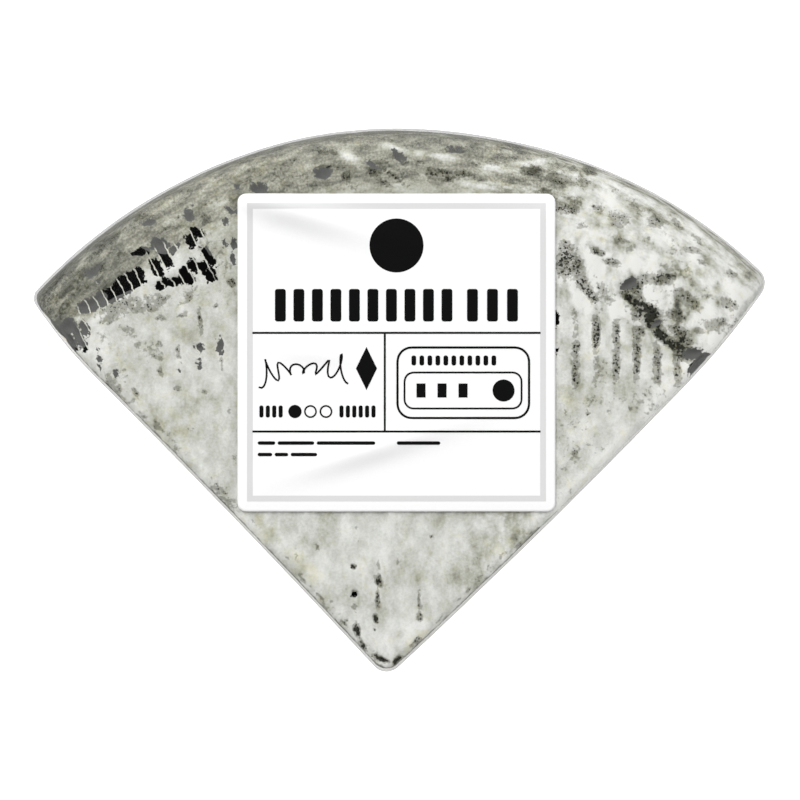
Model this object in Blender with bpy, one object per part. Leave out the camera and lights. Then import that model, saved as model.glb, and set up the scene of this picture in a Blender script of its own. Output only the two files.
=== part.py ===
"""A wedge of soft blue cheese with an ash-grey rind: a quarter of a small wheel.

The wedge lies on the wheel's flat underside and is wrapped tightly in clear film, so its solid is the
outside of the film. A square paper label lies on top. Metres, +Z up, with the origin under the middle of the
wedge. The rounded edge of the wheel faces +Y and the point of the wedge faces -Y.
"""

import math

import bmesh
import bpy
import numpy as np
from mathutils import Vector, noise

# Driving dimensions of the wheel and of the two cuts through it
WHEEL_RADIUS = 0.0657
WHEEL_CENTRE = (0.00104, -0.03046)
WEDGE_HEIGHT = 0.040
POINT = (-0.00186, -0.03615)
CUT_LENGTH = 0.072
LEFT_CORNER_RADIUS = 0.0011
RIGHT_CORNER_RADIUS = 0.0018
POINT_RADIUS = 0.0022
CORNER_GROWTH = 0.4

# Each cut as (side, lean, bow outwards between its ends, curl inwards of its outer end)
LEFT_CUT = (-1.0, math.radians(44.3), -0.0005, 0.0027)
RIGHT_CUT = (1.0, math.radians(45.1), 0.0007, 0.0014)
CURL_START = 0.75

# The wheel isn't quite round: its rim stands out left of its middle and in right of it
RIM_WAVE = 0.00024
RIM_WAVE_ANGLE = math.radians(12.6)

# Roundings of the upright sides, each as (inwards, downwards or upwards)
TOP_SHOULDER = (0.0090, 0.0080)
BOTTOM_SHOULDER = (0.0045, 0.0055)
CUT_EDGE = (0.0013, 0.0013)
RIND_BELLY = 0.0010
PASTE_BELLY = 0.0006

# The mat that the wheel ripened on left ridges in its top, and the mould left soft lumps in the rind
RIDGE_PITCH = 0.0026
RIDGE_HEIGHT = 0.0003
RIDGE_FADE = 0.0035
DOME_RISE = 0.0004
LUMP_HEIGHT = 0.00035
LUMP_SIZE = 0.0065
SWELL_HEIGHT = 0.0004
SWELL_SIZE = 0.024
PLAIN_BORDER = 0.0012
LUMP_FADE = 0.003
RISE_POWER = 4
SWELL_LAYER = 3.7
RIDGE_PATCH_LAYER = 8.1
RIDGE_PATCH_STRETCH = 3.0
RIDGE_PATCH_MEAN = 0.6
RIDGE_PATCH_SWING = 0.4
RIND_DEPTH = 0.009
RIND_BLEND = 0.004
STEEP = 0.5

# The label, a rounded square of paper, thicker here than the real one so that it is a sound solid
LABEL_SIDE = 0.0405
LABEL_CENTRE = (-0.00045, 0.00605)
LABEL_CORNER_RADIUS = 0.0011
LABEL_THICKNESS = 0.0003
LABEL_GAP = 0.0003

# How finely the surfaces are divided
LONGEST_STEP = 0.0027
SHARPEST_TURN = math.radians(12)
FINE_ANGLES = 2400
HALVINGS = 40
BOTTOM_RINGS = 4
WALL_RINGS = 7
TOP_RINGS = 9
CUTS_PER_RIDGE = 3
CUT_SPACING = 0.0033
LABEL_CELL = 0.0034
LABEL_CORNER_STEPS = 4
SNAP = 0.0001
SMOOTH_UNDER = math.radians(50)

RIND_GREY = (0.46, 0.47, 0.41)
PASTE_IVORY = (0.86, 0.80, 0.62)
LABEL_WHITE = (0.90, 0.90, 0.90)


def cut_distance(points, cut, inset):
    """Distance outside one cut face: the offset from a straight line, less its bow, plus its curl."""
    side, angle, bow, curl = cut
    away = points - np.array(POINT)
    along = np.array((side * math.sin(angle), math.cos(angle)))
    outwards = np.array((side * math.cos(angle), -math.sin(angle)))
    reach = away @ along / CUT_LENGTH
    share = np.clip(reach, 0.0, 1.0)
    end = np.maximum(0.0, (reach - CURL_START) / (1.0 - CURL_START))
    return away @ outwards - bow * 4.0 * share * (1.0 - share) + curl * end**2 + inset


def rim_distance(points, inset):
    """Distance outside the rim: a circle, with one shallow wave across its middle."""
    away = points - np.array(WHEEL_CENTRE)
    turn = -np.arctan2(away[:, 0], away[:, 1]) / RIM_WAVE_ANGLE
    wave = RIM_WAVE * turn * np.exp(0.5 - 0.5 * turn**2)
    return np.linalg.norm(away, axis=1) - WHEEL_RADIUS - wave + inset


def rounded_corner(first, second, radius):
    """The larger of two distances, with the corner between them rounded by an arc."""
    into_first = np.maximum(first + radius, 0.0)
    into_second = np.maximum(second + radius, 0.0)
    return np.minimum(np.maximum(first, second), -radius) + np.hypot(into_first, into_second)


def outline_distance(points, cut_inset, rim_inset):
    """Distance outside the outline at one level, where its sides stand in by these insets.

    The rim's corners are rounder where the rim stands further in, as the tight film pulls them.
    """
    left = cut_distance(points, LEFT_CUT, cut_inset)
    right = cut_distance(points, RIGHT_CUT, cut_inset)
    radius = np.where(points[:, 0] < 0.0, LEFT_CORNER_RADIUS, RIGHT_CORNER_RADIUS)
    radius = radius + CORNER_GROWTH * rim_inset
    cuts = rounded_corner(left, right, POINT_RADIUS)
    return rounded_corner(cuts, rim_distance(points, rim_inset), radius)


def outline(angles, cut_inset=0.0, rim_inset=0.0):
    """The outline on rays from the origin at these angles, by halving the span that holds each point."""
    rays = np.stack((np.cos(angles), np.sin(angles)), axis=1)
    near = np.zeros(len(angles))
    far = np.full(len(angles), 2.0 * WHEEL_RADIUS)
    for _ in range(HALVINGS):
        middle = (near + far) / 2.0
        inside = outline_distance(rays * middle[:, None], cut_inset, rim_inset) < 0.0
        near = np.where(inside, middle, near)
        far = np.where(inside, far, middle)
    return rays * near[:, None]


def ray_angles():
    """Angles round the outline, close enough together for its length and for its turning at any level."""
    fine = np.linspace(0.0, 2.0 * math.pi, FINE_ANGLES, endpoint=False)
    cost = np.zeros(FINE_ANGLES)
    for level in levels():
        points = outline(fine, *side_insets(level))
        steps = np.roll(points, -1, axis=0) - points
        heading = np.unwrap(np.arctan2(steps[:, 1], steps[:, 0]))
        turning = np.abs(np.diff(heading, append=heading[0] + 2.0 * math.pi))
        here = np.linalg.norm(steps, axis=1) / LONGEST_STEP + turning / SHARPEST_TURN
        cost = np.maximum(cost, here)
    travelled = np.concatenate(([0.0], np.cumsum(cost)))
    count = math.ceil(travelled[-1])
    wanted = np.linspace(0.0, travelled[-1], count, endpoint=False)
    return np.interp(wanted, travelled, np.append(fine, 2.0 * math.pi))


def edge_inset(level, rounding, at_top):
    """How far an elliptical rounding, given as (inwards, upright), holds a side in at this level."""
    inwards, upright = rounding
    from_end = WEDGE_HEIGHT - level if at_top else level
    share = max(0.0, 1.0 - from_end / upright)
    return inwards * (1.0 - math.sqrt(1.0 - share * share))


def side_insets(level):
    """The insets of the cut faces and of the rim at this level: their bellies and their rounded ends."""
    from_middle = (2.0 * level / WEDGE_HEIGHT - 1.0) ** 2
    cut = PASTE_BELLY * from_middle + edge_inset(level, CUT_EDGE, True) + edge_inset(level, CUT_EDGE, False)
    rim = RIND_BELLY * from_middle
    rim += edge_inset(level, TOP_SHOULDER, True) + edge_inset(level, BOTTOM_SHOULDER, False)
    return cut, rim


def levels():
    """Heights of the rings from the base to the top: close in the roundings and even between them."""
    quarter = math.pi / 2.0
    start, stop = BOTTOM_SHOULDER[1], WEDGE_HEIGHT - TOP_SHOULDER[1]
    low = [start * (1.0 - math.cos(quarter * ring / BOTTOM_RINGS)) for ring in range(BOTTOM_RINGS)]
    between = [start + (stop - start) * ring / WALL_RINGS for ring in range(WALL_RINGS)]
    high = [stop + TOP_SHOULDER[1] * math.sin(quarter * ring / TOP_RINGS) for ring in range(TOP_RINGS + 1)]
    return low + between + high


def unevenness(x, y):
    """How far the top stands above or below flat: a low dome over the wheel's middle, and gentle swells."""
    from_centre = math.hypot(x - WHEEL_CENTRE[0], y - WHEEL_CENTRE[1])
    dome = DOME_RISE * (1.0 - (from_centre / WHEEL_RADIUS) ** 2)
    return dome + SWELL_HEIGHT * noise.noise(Vector((x / SWELL_SIZE, y / SWELL_SIZE, SWELL_LAYER)))


def lumps(point):
    """Soft lumps of mould in the rind, which fade out under the flat top."""
    fade = min(1.0, (WEDGE_HEIGHT - point.z) / LUMP_FADE)
    return LUMP_HEIGHT * fade * noise.noise(point / LUMP_SIZE)


def top_height(x, y):
    """The smooth top at this place, from the flat middle over the shoulder to the rim."""
    from_centre = math.hypot(x - WHEEL_CENTRE[0], y - WHEEL_CENTRE[1])
    inwards, upright = TOP_SHOULDER
    share = min(1.0, max(0.0, 1.0 - (WHEEL_RADIUS - RIND_BELLY - from_centre) / inwards))
    drop = upright * (1.0 - math.sqrt(1.0 - share * share))
    return WEDGE_HEIGHT - drop + unevenness(x, y)


def ridge(x, y, room):
    """Height of the mat's ridges, which fade out towards the shoulder and the cut edges and in patches."""
    wave = 0.5 + 0.5 * math.cos(2.0 * math.pi * x / RIDGE_PITCH)
    place = Vector((x / LUMP_SIZE, y / (RIDGE_PATCH_STRETCH * LUMP_SIZE), RIDGE_PATCH_LAYER))
    patch = RIDGE_PATCH_MEAN + RIDGE_PATCH_SWING * noise.noise(place)
    return -RIDGE_HEIGHT * wave * patch * min(1.0, room / RIDGE_FADE)


def paint(name, colour, roughness):
    """A plain material of one colour and gloss."""
    material = bpy.data.materials.new(name)
    material.use_nodes = True
    shader = material.node_tree.nodes["Principled BSDF"]
    shader.inputs["Base Color"].default_value = (*colour, 1.0)
    shader.inputs["Roughness"].default_value = roughness
    shader.inputs["Metallic"].default_value = 0.0
    material.diffuse_color = (*colour, 1.0)
    return material


def finished_object(name, mesh_builder, materials):
    """An object made from a bmesh, triangulated, facing out and shaded smooth up to an angle."""
    bmesh.ops.recalc_face_normals(mesh_builder, faces=mesh_builder.faces)
    bmesh.ops.triangulate(mesh_builder, faces=mesh_builder.faces)
    mesh = bpy.data.meshes.new(name)
    mesh_builder.to_mesh(mesh)
    mesh_builder.free()
    for material in materials:
        mesh.materials.append(material)
    mesh.shade_smooth()
    mesh.set_sharp_from_angle(angle=SMOOTH_UNDER)
    made = bpy.data.objects.new(name, mesh)
    bpy.context.scene.collection.objects.link(made)
    return made


def slice_face(mesh_builder, spacing, axis, marked):
    """Cuts the faces that carry the marked material index by planes across one axis, evenly spaced."""
    direction = Vector((1.0, 0.0, 0.0)) if axis == 0 else Vector((0.0, 1.0, 0.0))
    most = math.floor(WHEEL_RADIUS / spacing)
    for step in range(-most, most + 1):
        faces = [face for face in mesh_builder.faces if face.material_index == marked]
        edges = {edge for face in faces for edge in face.edges}
        verts = {vert for face in faces for vert in face.verts}
        bmesh.ops.bisect_plane(
            mesh_builder,
            geom=[*faces, *edges, *verts],
            dist=SNAP,
            plane_co=direction * (step * spacing),
            plane_no=direction,
        )


def inner_insets():
    """The insets of the ridged part of the top, inside its plain border."""
    cut, rim = side_insets(WEDGE_HEIGHT)
    return cut + PLAIN_BORDER, rim + PLAIN_BORDER


def stacked_rings(mesh_builder):
    """Rings of vertices up the wedge and in over its top, joined by quads; returns the face on top."""
    angles = ray_angles()
    places = [(level, side_insets(level)) for level in levels()]
    places.append((WEDGE_HEIGHT, inner_insets()))
    rings = []
    for level, insets in places:
        points = outline(angles, *insets)
        rings.append([mesh_builder.verts.new((x, y, level)) for x, y in points])
    for lower, upper in zip(rings, rings[1:]):
        for here in range(len(angles)):
            after = (here + 1) % len(angles)
            mesh_builder.faces.new((lower[here], lower[after], upper[after], upper[here]))
    mesh_builder.faces.new(list(reversed(rings[0])))
    return mesh_builder.faces.new(rings[-1])


def rind_share(x, y):
    """How much of the side at this place is rind, from 0 on a cut face to 1 on the wheel's rim."""
    from_centre = math.hypot(x - WHEEL_CENTRE[0], y - WHEEL_CENTRE[1])
    return min(1.0, max(0.0, (from_centre - WHEEL_RADIUS + RIND_DEPTH) / RIND_BLEND + 0.5))


def shape_relief(mesh_builder, top_verts):
    """Raises the top to its dome and ridges, and lays soft lumps over the rim."""
    for vert in mesh_builder.verts:
        x, y, z = vert.co
        if vert in top_verts:
            room = -float(outline_distance(np.array([(x, y)]), *inner_insets())[0])
            vert.co.z += ridge(x, y, max(0.0, room))
        elif z > BOTTOM_SHOULDER[1]:
            outwards = Vector((x - WHEEL_CENTRE[0], y - WHEEL_CENTRE[1], 0.0)).normalized()
            vert.co += outwards * (lumps(vert.co) * rind_share(x, y))
        vert.co.z += unevenness(x, y) * (z / WEDGE_HEIGHT) ** RISE_POWER


def cheese_wedge(rind, paste):
    """The wrapped wedge, one closed solid: ridged top, rounded rim, two cut faces and a flat base."""
    builder = bmesh.new()
    top = stacked_rings(builder)
    marked = 1
    top.material_index = marked
    slice_face(builder, RIDGE_PITCH / CUTS_PER_RIDGE, 0, marked)
    slice_face(builder, CUT_SPACING, 1, marked)
    top_faces = [face for face in builder.faces if face.material_index == marked]
    shape_relief(builder, {vert for face in top_faces for vert in face.verts})
    builder.normal_update()
    for face in builder.faces:
        x, y, _ = face.calc_center_median()
        on_cut = abs(face.normal.z) < STEEP and rind_share(x, y) < 0.5
        face.material_index = 1 if on_cut else 0
    return finished_object("cheese_wedge", builder, (rind, paste))


def rounded_square():
    """Corner points of the label's outline, with each corner an arc."""
    straight = LABEL_SIDE / 2.0 - LABEL_CORNER_RADIUS
    points = []
    for quarter in range(4):
        start = quarter * math.pi / 2.0
        middle_x = straight * (1.0 if quarter in (0, 3) else -1.0)
        middle_y = straight * (1.0 if quarter in (0, 1) else -1.0)
        for step in range(LABEL_CORNER_STEPS + 1):
            angle = start + step * math.pi / 2.0 / LABEL_CORNER_STEPS
            points.append((
                LABEL_CENTRE[0] + middle_x + LABEL_CORNER_RADIUS * math.cos(angle),
                LABEL_CENTRE[1] + middle_y + LABEL_CORNER_RADIUS * math.sin(angle),
            ))
    return points


def paper_label(paper):
    """The label: a rounded square that follows the top of the wedge just above its ridges."""
    builder = bmesh.new()
    builder.faces.new([builder.verts.new((x, y, 0.0)) for x, y in rounded_square()])
    slice_face(builder, LABEL_CELL, 0, 0)
    slice_face(builder, LABEL_CELL, 1, 0)
    for vert in builder.verts:
        vert.co.z = top_height(vert.co.x, vert.co.y) + LABEL_GAP
    under = list(builder.faces)
    grown = bmesh.ops.extrude_face_region(builder, geom=under)
    for item in grown["geom"]:
        if isinstance(item, bmesh.types.BMVert):
            item.co.z += LABEL_THICKNESS
    return finished_object("paper_label", builder, (paper,))


def main():
    for old in list(bpy.data.objects):
        bpy.data.objects.remove(old)
    rind = paint("ash_rind", RIND_GREY, 0.55)
    paste = paint("ivory_paste", PASTE_IVORY, 0.45)
    paper = paint("label_paper", LABEL_WHITE, 0.5)
    cheese_wedge(rind, paste)
    paper_label(paper)


main()
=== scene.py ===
# %% [markdown]
# # A wedge of ash-rinded blue cheese in clear film
#
# The solids of the wedge and of its label are already made: they are loaded here as a fixed frame, and this
# script dresses them. The cheese gets its mould-covered rind and its ivory, blue-veined cut faces. Round it
# goes a tight skin of clear film, and on top lies a square paper label with plain printed shapes.

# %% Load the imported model
import math

import bpy
import numpy as np
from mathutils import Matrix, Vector, noise


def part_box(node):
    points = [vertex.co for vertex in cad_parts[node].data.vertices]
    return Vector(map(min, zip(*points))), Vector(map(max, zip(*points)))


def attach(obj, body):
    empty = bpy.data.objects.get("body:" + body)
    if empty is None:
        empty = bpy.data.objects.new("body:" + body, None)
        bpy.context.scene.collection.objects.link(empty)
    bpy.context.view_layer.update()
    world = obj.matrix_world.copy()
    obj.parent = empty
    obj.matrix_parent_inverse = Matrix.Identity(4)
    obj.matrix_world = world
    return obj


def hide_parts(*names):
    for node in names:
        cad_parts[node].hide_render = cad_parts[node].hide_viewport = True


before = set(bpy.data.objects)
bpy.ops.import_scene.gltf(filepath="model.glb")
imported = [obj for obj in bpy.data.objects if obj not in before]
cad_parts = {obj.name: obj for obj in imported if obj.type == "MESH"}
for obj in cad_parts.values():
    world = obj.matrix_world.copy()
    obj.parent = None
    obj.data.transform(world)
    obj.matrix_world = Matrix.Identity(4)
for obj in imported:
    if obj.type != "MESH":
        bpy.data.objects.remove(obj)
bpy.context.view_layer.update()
WEDGE_LOW, WEDGE_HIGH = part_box("cheese_wedge")
print("wedge", [round(1000.0 * side, 1) for side in WEDGE_HIGH - WEDGE_LOW], "mm")

# %% [markdown]
# ## The form of the wedge
#
# A small wheel is cut into four, so from above the wedge is two straight cuts and an arc of the rim, with
# all three corners a little rounded. The skin of the wedge could be modelled by hand, but it is a rule: at
# every height the outline is the same three lines, each held in by its own amount. So one function measures
# how far a point lies outside that outline, and the outline itself is found by halving a span on rays from
# the middle.

# %% The outline at any height
WHEEL_RADIUS = 0.0657
WHEEL_CENTRE = (0.00104, -0.03046)
WEDGE_HEIGHT = 0.040
POINT = (-0.00186, -0.03615)
CUT_LENGTH = 0.072
LEFT_CORNER_RADIUS = 0.0011
RIGHT_CORNER_RADIUS = 0.0018
POINT_RADIUS = 0.0022
CORNER_GROWTH = 0.4
LEFT_CUT = (-1.0, math.radians(44.3), -0.0005, 0.0027)
RIGHT_CUT = (1.0, math.radians(45.1), 0.0007, 0.0014)
CURL_START = 0.75
RIM_WAVE = 0.00024
RIM_WAVE_ANGLE = math.radians(12.6)
HALVINGS = 34


def cut_distance(x, y, cut, inset):
    """Distance outside one cut: the offset from a leaning line, less its bow, plus its outer end's curl."""
    side, lean, bow, curl = cut
    away_x, away_y = x - POINT[0], y - POINT[1]
    reach = (away_x * side * math.sin(lean) + away_y * math.cos(lean)) / CUT_LENGTH
    share = np.clip(reach, 0.0, 1.0)
    end = np.maximum(0.0, (reach - CURL_START) / (1.0 - CURL_START))
    outside = away_x * side * math.cos(lean) - away_y * math.sin(lean)
    return outside - bow * 4.0 * share * (1.0 - share) + curl * end ** 2 + inset


def rim_distance(x, y, inset):
    """Distance outside the rim: a circle, with one shallow wave across its middle."""
    away_x, away_y = x - WHEEL_CENTRE[0], y - WHEEL_CENTRE[1]
    turn = -np.arctan2(away_x, away_y) / RIM_WAVE_ANGLE
    wave = RIM_WAVE * turn * np.exp(0.5 - 0.5 * turn ** 2)
    return np.hypot(away_x, away_y) - WHEEL_RADIUS - wave + inset


def rounded_corner(first, second, radius):
    """The larger of two distances, joined by an arc of this radius where both are near."""
    reach = np.hypot(np.maximum(first + radius, 0.0), np.maximum(second + radius, 0.0))
    return np.minimum(np.maximum(first, second), -radius) + reach


def outline_distance(x, y, cut_inset, rim_inset):
    """Distance outside the whole outline. The rim's corners are rounder where the rim stands further in."""
    cuts = rounded_corner(cut_distance(x, y, LEFT_CUT, cut_inset), cut_distance(x, y, RIGHT_CUT, cut_inset),
                          POINT_RADIUS)
    radius = np.where(x < 0.0, LEFT_CORNER_RADIUS, RIGHT_CORNER_RADIUS) + CORNER_GROWTH * rim_inset
    return rounded_corner(cuts, rim_distance(x, y, rim_inset), radius)


def outline_reach(angles, cut_inset, rim_inset):
    """How far the outline lies from the origin on each ray, by halving the span that holds it."""
    across, along = np.cos(angles), np.sin(angles)
    near = np.zeros(np.broadcast(angles, cut_inset).shape)
    far = near + 2.0 * WHEEL_RADIUS
    for _ in range(HALVINGS):
        middle = (near + far) / 2.0
        inside = outline_distance(across * middle, along * middle, cut_inset, rim_inset) < 0.0
        near, far = np.where(inside, middle, near), np.where(inside, far, middle)
    return near


# %% [markdown]
# The rim's shoulder and the sharper edges of the cuts are quarter ellipses, and the sides belly out a
# little. The top domes and swells: the same gentle noise that shaped the solid is read on a coarse grid and
# carried smoothly between its points, which keeps the fine surface on the solid without a loop over every
# vertex.

# %% Edges, bellies and the height of the top
TOP_SHOULDER = (0.0090, 0.0080)
BOTTOM_SHOULDER = (0.0045, 0.0055)
CUT_EDGE = (0.0013, 0.0013)
RIND_BELLY = 0.0010
PASTE_BELLY = 0.0006
DOME_RISE = 0.0004
SWELL_HEIGHT = 0.0004
SWELL_SIZE = 0.024
SWELL_LAYER = 3.7
RISE_POWER = 4
SWELL_REACH = 0.066
SWELL_STEPS = 45


def smooth(low, high, value):
    """An eased step: 0 below low, 1 above high, and a smooth S between them. High may be the lower one."""
    share = np.clip((value - low) / (high - low), 0.0, 1.0)
    return share * share * (3.0 - 2.0 * share)


def edge_inset(from_end, rounding):
    """How far a quarter ellipse, (inwards, upright), holds a side in at this distance from its end."""
    share = np.clip(1.0 - from_end / rounding[1], 0.0, 1.0)
    return rounding[0] * (1.0 - np.sqrt(1.0 - share * share))


def side_insets(level):
    """The insets of cuts and rim at a height: a parabola for the belly and an ellipse at each end."""
    from_middle = (2.0 * level / WEDGE_HEIGHT - 1.0) ** 2
    above = WEDGE_HEIGHT - level
    cut = PASTE_BELLY * from_middle + edge_inset(above, CUT_EDGE) + edge_inset(level, CUT_EDGE)
    rim = RIND_BELLY * from_middle + edge_inset(above, TOP_SHOULDER) + edge_inset(level, BOTTOM_SHOULDER)
    return cut, rim


swell_marks = np.linspace(-SWELL_REACH, SWELL_REACH, SWELL_STEPS)
swell_map = np.array([
    [noise.noise(Vector((x / SWELL_SIZE, y / SWELL_SIZE, SWELL_LAYER))) for x in swell_marks]
    for y in swell_marks
])


def swell(x, y):
    """The swells at any place: the four nearest marks of swell_map, weighted by how near they are."""
    column = np.clip((x / SWELL_REACH + 1.0) * (SWELL_STEPS - 1) / 2.0, 0.0, SWELL_STEPS - 1.001)
    row = np.clip((y / SWELL_REACH + 1.0) * (SWELL_STEPS - 1) / 2.0, 0.0, SWELL_STEPS - 1.001)
    left, low = column.astype(int), row.astype(int)
    right_share, high_share = column - left, row - low
    lower = swell_map[low, left] * (1.0 - right_share) + swell_map[low, left + 1] * right_share
    upper = swell_map[low + 1, left] * (1.0 - right_share) + swell_map[low + 1, left + 1] * right_share
    return lower * (1.0 - high_share) + upper * high_share


def rise(x, y):
    """How far the top stands above or below flat: a low dome over the wheel's middle, and the swells."""
    from_centre = np.hypot(x - WHEEL_CENTRE[0], y - WHEEL_CENTRE[1])
    return DOME_RISE * (1.0 - (from_centre / WHEEL_RADIUS) ** 2) + SWELL_HEIGHT * swell(x, y)


def top_height(x, y):
    """The height of the top: flat in the middle, and a quarter ellipse down over the rim's shoulder."""
    from_centre = np.hypot(x - WHEEL_CENTRE[0], y - WHEEL_CENTRE[1])
    share = np.clip(1.0 - (WHEEL_RADIUS - RIND_BELLY - from_centre) / TOP_SHOULDER[0], 0.0, 1.0)
    return WEDGE_HEIGHT - TOP_SHOULDER[1] * (1.0 - np.sqrt(1.0 - share * share)) + rise(x, y)


# %% [markdown]
# The skin is a grid of rings, from the middle of the base, out, up the sides and in over the top, with the
# same number of places on every ring. Cheese and film are both made from it: the cheese finely, because its
# mould is relief, and the film more coarsely. The rings lie close together where something shows and far
# apart underneath.

# %% A closed skin as a grid of rings
TOP_OPENING = 0.03
COVERED_SHARE = 0.36
CORNER_PULL = 0.0016
WALL_LENGTH, SHOULDER_LENGTH, TOP_LENGTH = 0.0265, 0.0134, 0.0225
BASE_SHARES = (TOP_OPENING, 0.3, 0.6, 0.85, 0.96)


def ray_angles(count):
    """Angles whose rays meet the outline at even distances, a little closer at the corners."""
    fine = np.linspace(0.0, 2.0 * math.pi, 4001)
    reach = outline_reach(fine, 0.0, 0.0)
    x, y = reach * np.cos(fine), reach * np.sin(fine)
    steps = np.hypot(np.diff(x), np.diff(y))
    heading = np.unwrap(np.arctan2(np.diff(y), np.diff(x)))
    turning = np.abs(np.diff(heading, append=heading[0] + 2.0 * math.pi))
    travelled = np.concatenate(([0.0], np.cumsum(steps + CORNER_PULL * turning)))
    return np.interp(np.linspace(0.0, travelled[-1], count, endpoint=False), travelled, fine)


def skin_grid(around, cell):
    """The skin as an array of rings, places and (x, y, z), with square cells on the top and shoulder."""
    quarter = math.pi / 2.0
    bottom = BOTTOM_SHOULDER[1] * (1.0 - np.cos(np.linspace(0.0, quarter, 10, endpoint=False)))
    shoulder_start = WEDGE_HEIGHT - TOP_SHOULDER[1]
    walls = np.linspace(BOTTOM_SHOULDER[1], shoulder_start, round(WALL_LENGTH / (2.0 * cell)), endpoint=False)
    turn = np.linspace(0.0, quarter, round(SHOULDER_LENGTH / cell))
    shoulder = shoulder_start + TOP_SHOULDER[1] * np.sin(turn)
    levels = np.concatenate((np.zeros(len(BASE_SHARES)), bottom, walls, shoulder))
    top_shares = np.linspace(1.0, COVERED_SHARE, round(TOP_LENGTH / cell))[1:]
    inner_shares = np.linspace(COVERED_SHARE, TOP_OPENING, 8)[1:]
    over_top = np.concatenate((top_shares, inner_shares))
    shares = np.concatenate((BASE_SHARES, np.ones(len(levels) - len(BASE_SHARES)), over_top))
    levels = np.concatenate((levels, np.full(len(over_top), WEDGE_HEIGHT)))
    cut, rim = side_insets(levels)
    angles = ray_angles(around)[None, :]
    reach = outline_reach(angles, cut[:, None], rim[:, None]) * shares[:, None]
    x, y = reach * np.cos(angles), reach * np.sin(angles)
    z = np.broadcast_to(levels[:, None], x.shape)
    on_top = np.arange(len(levels))[:, None] >= len(levels) - len(over_top)
    flank = z + rise(x, y) * (z / WEDGE_HEIGHT) ** RISE_POWER
    return np.stack((x, y, np.where(on_top, WEDGE_HEIGHT + rise(x, y), flank)), axis=-1)


def outward(grid):
    """Unit normals of a skin grid: the cross product of the steps along and across its rings."""
    along = np.roll(grid, -1, axis=1) - np.roll(grid, 1, axis=1)
    across = np.gradient(grid, axis=0)
    normal = np.cross(along, across)
    return normal / np.maximum(np.linalg.norm(normal, axis=-1, keepdims=True), 1e-12)


# %% [markdown]
# Every piece here is rows of places joined by quads, and some end in a fan of triangles round a pole. Three
# small helpers number the corners and make the object, and the pieces only say where their places are.

# %% Rows of places made into meshes
def quads_between(here, closed=True):
    """Quads between the rows of a grid of point numbers, also from the end of a closed row to its start."""
    after = np.roll(here, -1, axis=1) if closed else here[:, 1:]
    here = here if closed else here[:, :-1]
    return np.stack((here[:-1], after[:-1], after[1:], here[1:]), axis=-1).reshape(-1, 4)


def fan_round(row, pole):
    """Triangles from each step of a closed row to its pole."""
    return np.stack((row, np.roll(row, -1), np.full(len(row), pole)), axis=-1)


def turned_over(faces):
    """The same faces with their corners in the other order, so that they face the other way."""
    return np.concatenate((faces[:, :1], faces[:, :0:-1]), axis=1)


def new_object(name, places, *faces):
    """An object at the origin whose mesh has these places and these arrays or lists of faces."""
    corners = [list(map(int, face)) for part in faces for face in part]
    mesh = bpy.data.meshes.new(name)
    mesh.from_pydata(places.tolist(), [], corners)
    made = bpy.data.objects.new(name, mesh)
    bpy.context.scene.collection.objects.link(made)
    print(name, len(mesh.polygons), "faces")
    return made


def skin_mesh(name, grid, fields=None):
    """A closed mesh of a skin grid: a quad for every cell, and a fan round the pole inside each end ring."""
    rings, around = grid.shape[:2]
    here = np.arange(rings * around).reshape(rings, around)
    base_fan = turned_over(fan_round(here[0], rings * around))
    top_fan = fan_round(here[-1], rings * around + 1)
    places = np.concatenate((grid.reshape(-1, 3), grid[0].mean(axis=0)[None], grid[-1].mean(axis=0)[None]))
    made = new_object(name, places, quads_between(here), base_fan, top_fan)
    for kept, values in (fields or {}).items():
        whole = np.concatenate((values.reshape(-1), [values[0].mean(), values[-1].mean()]))
        made.data.attributes.new(kept, "FLOAT", "POINT").data.foreach_set("value", whole.astype(np.float32))
    made.data.shade_smooth()
    return made


# %% [markdown]
# ## Where things are on the rind
#
# The rind is described as a map seen from above, in pixels of the 800 by 800 photograph, because that is
# how its patches were studied. A point on the cheese finds its place on that map by perspective from the
# camera, so a mark stays where it belongs on the curved shoulder too.

# %% The camera and the map
CAMERA_HEIGHT = 0.92
MIDDLE_HEIGHT = 0.020
VIEW_WIDTH = 0.10425
PHOTO_SIDE = 800.0
MAP_MIDDLE = (399.5, 399.5)
FOCUS = PHOTO_SIDE / VIEW_WIDTH * (CAMERA_HEIGHT - MIDDLE_HEIGHT)


def map_place(x, y, z):
    """The map pixel (across, down) over a place: its offset from the camera's axis, larger when nearer."""
    pixels_per_metre = FOCUS / (CAMERA_HEIGHT - z)
    return MAP_MIDDLE[0] + x * pixels_per_metre, MAP_MIDDLE[1] - y * pixels_per_metre


def on_top_place(across, down):
    """The place (x, y) of a map pixel on the top."""
    pixels_per_metre = FOCUS / (CAMERA_HEIGHT - WEDGE_HEIGHT)
    return (across - MAP_MIDDLE[0]) / pixels_per_metre, (MAP_MIDDLE[1] - down) / pixels_per_metre


# %% [markdown]
# Mould grows in clouds: big soft patches with smaller ones on their edges. Value noise gives that: a random
# number at each corner of a lattice, blended smoothly between corners, then the same again at half the size
# and strength.

# %% Cloudy noise on whole arrays
def lattice_value(cells, seed):
    """A repeatable random number from 0 to 1 for a lattice corner: its whole numbers, stirred as bits."""
    stirred = cells[0] * 374761393 + cells[1] * 668265263 + cells[2] * 1440662683 + seed * 1274126177
    stirred = stirred & 0xFFFFFFFF
    stirred = ((stirred ^ (stirred >> 13)) * 1274126177) & 0xFFFFFFFF
    return ((stirred ^ (stirred >> 16)) & 0xFFFFFF) / float(0xFFFFFF)


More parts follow.
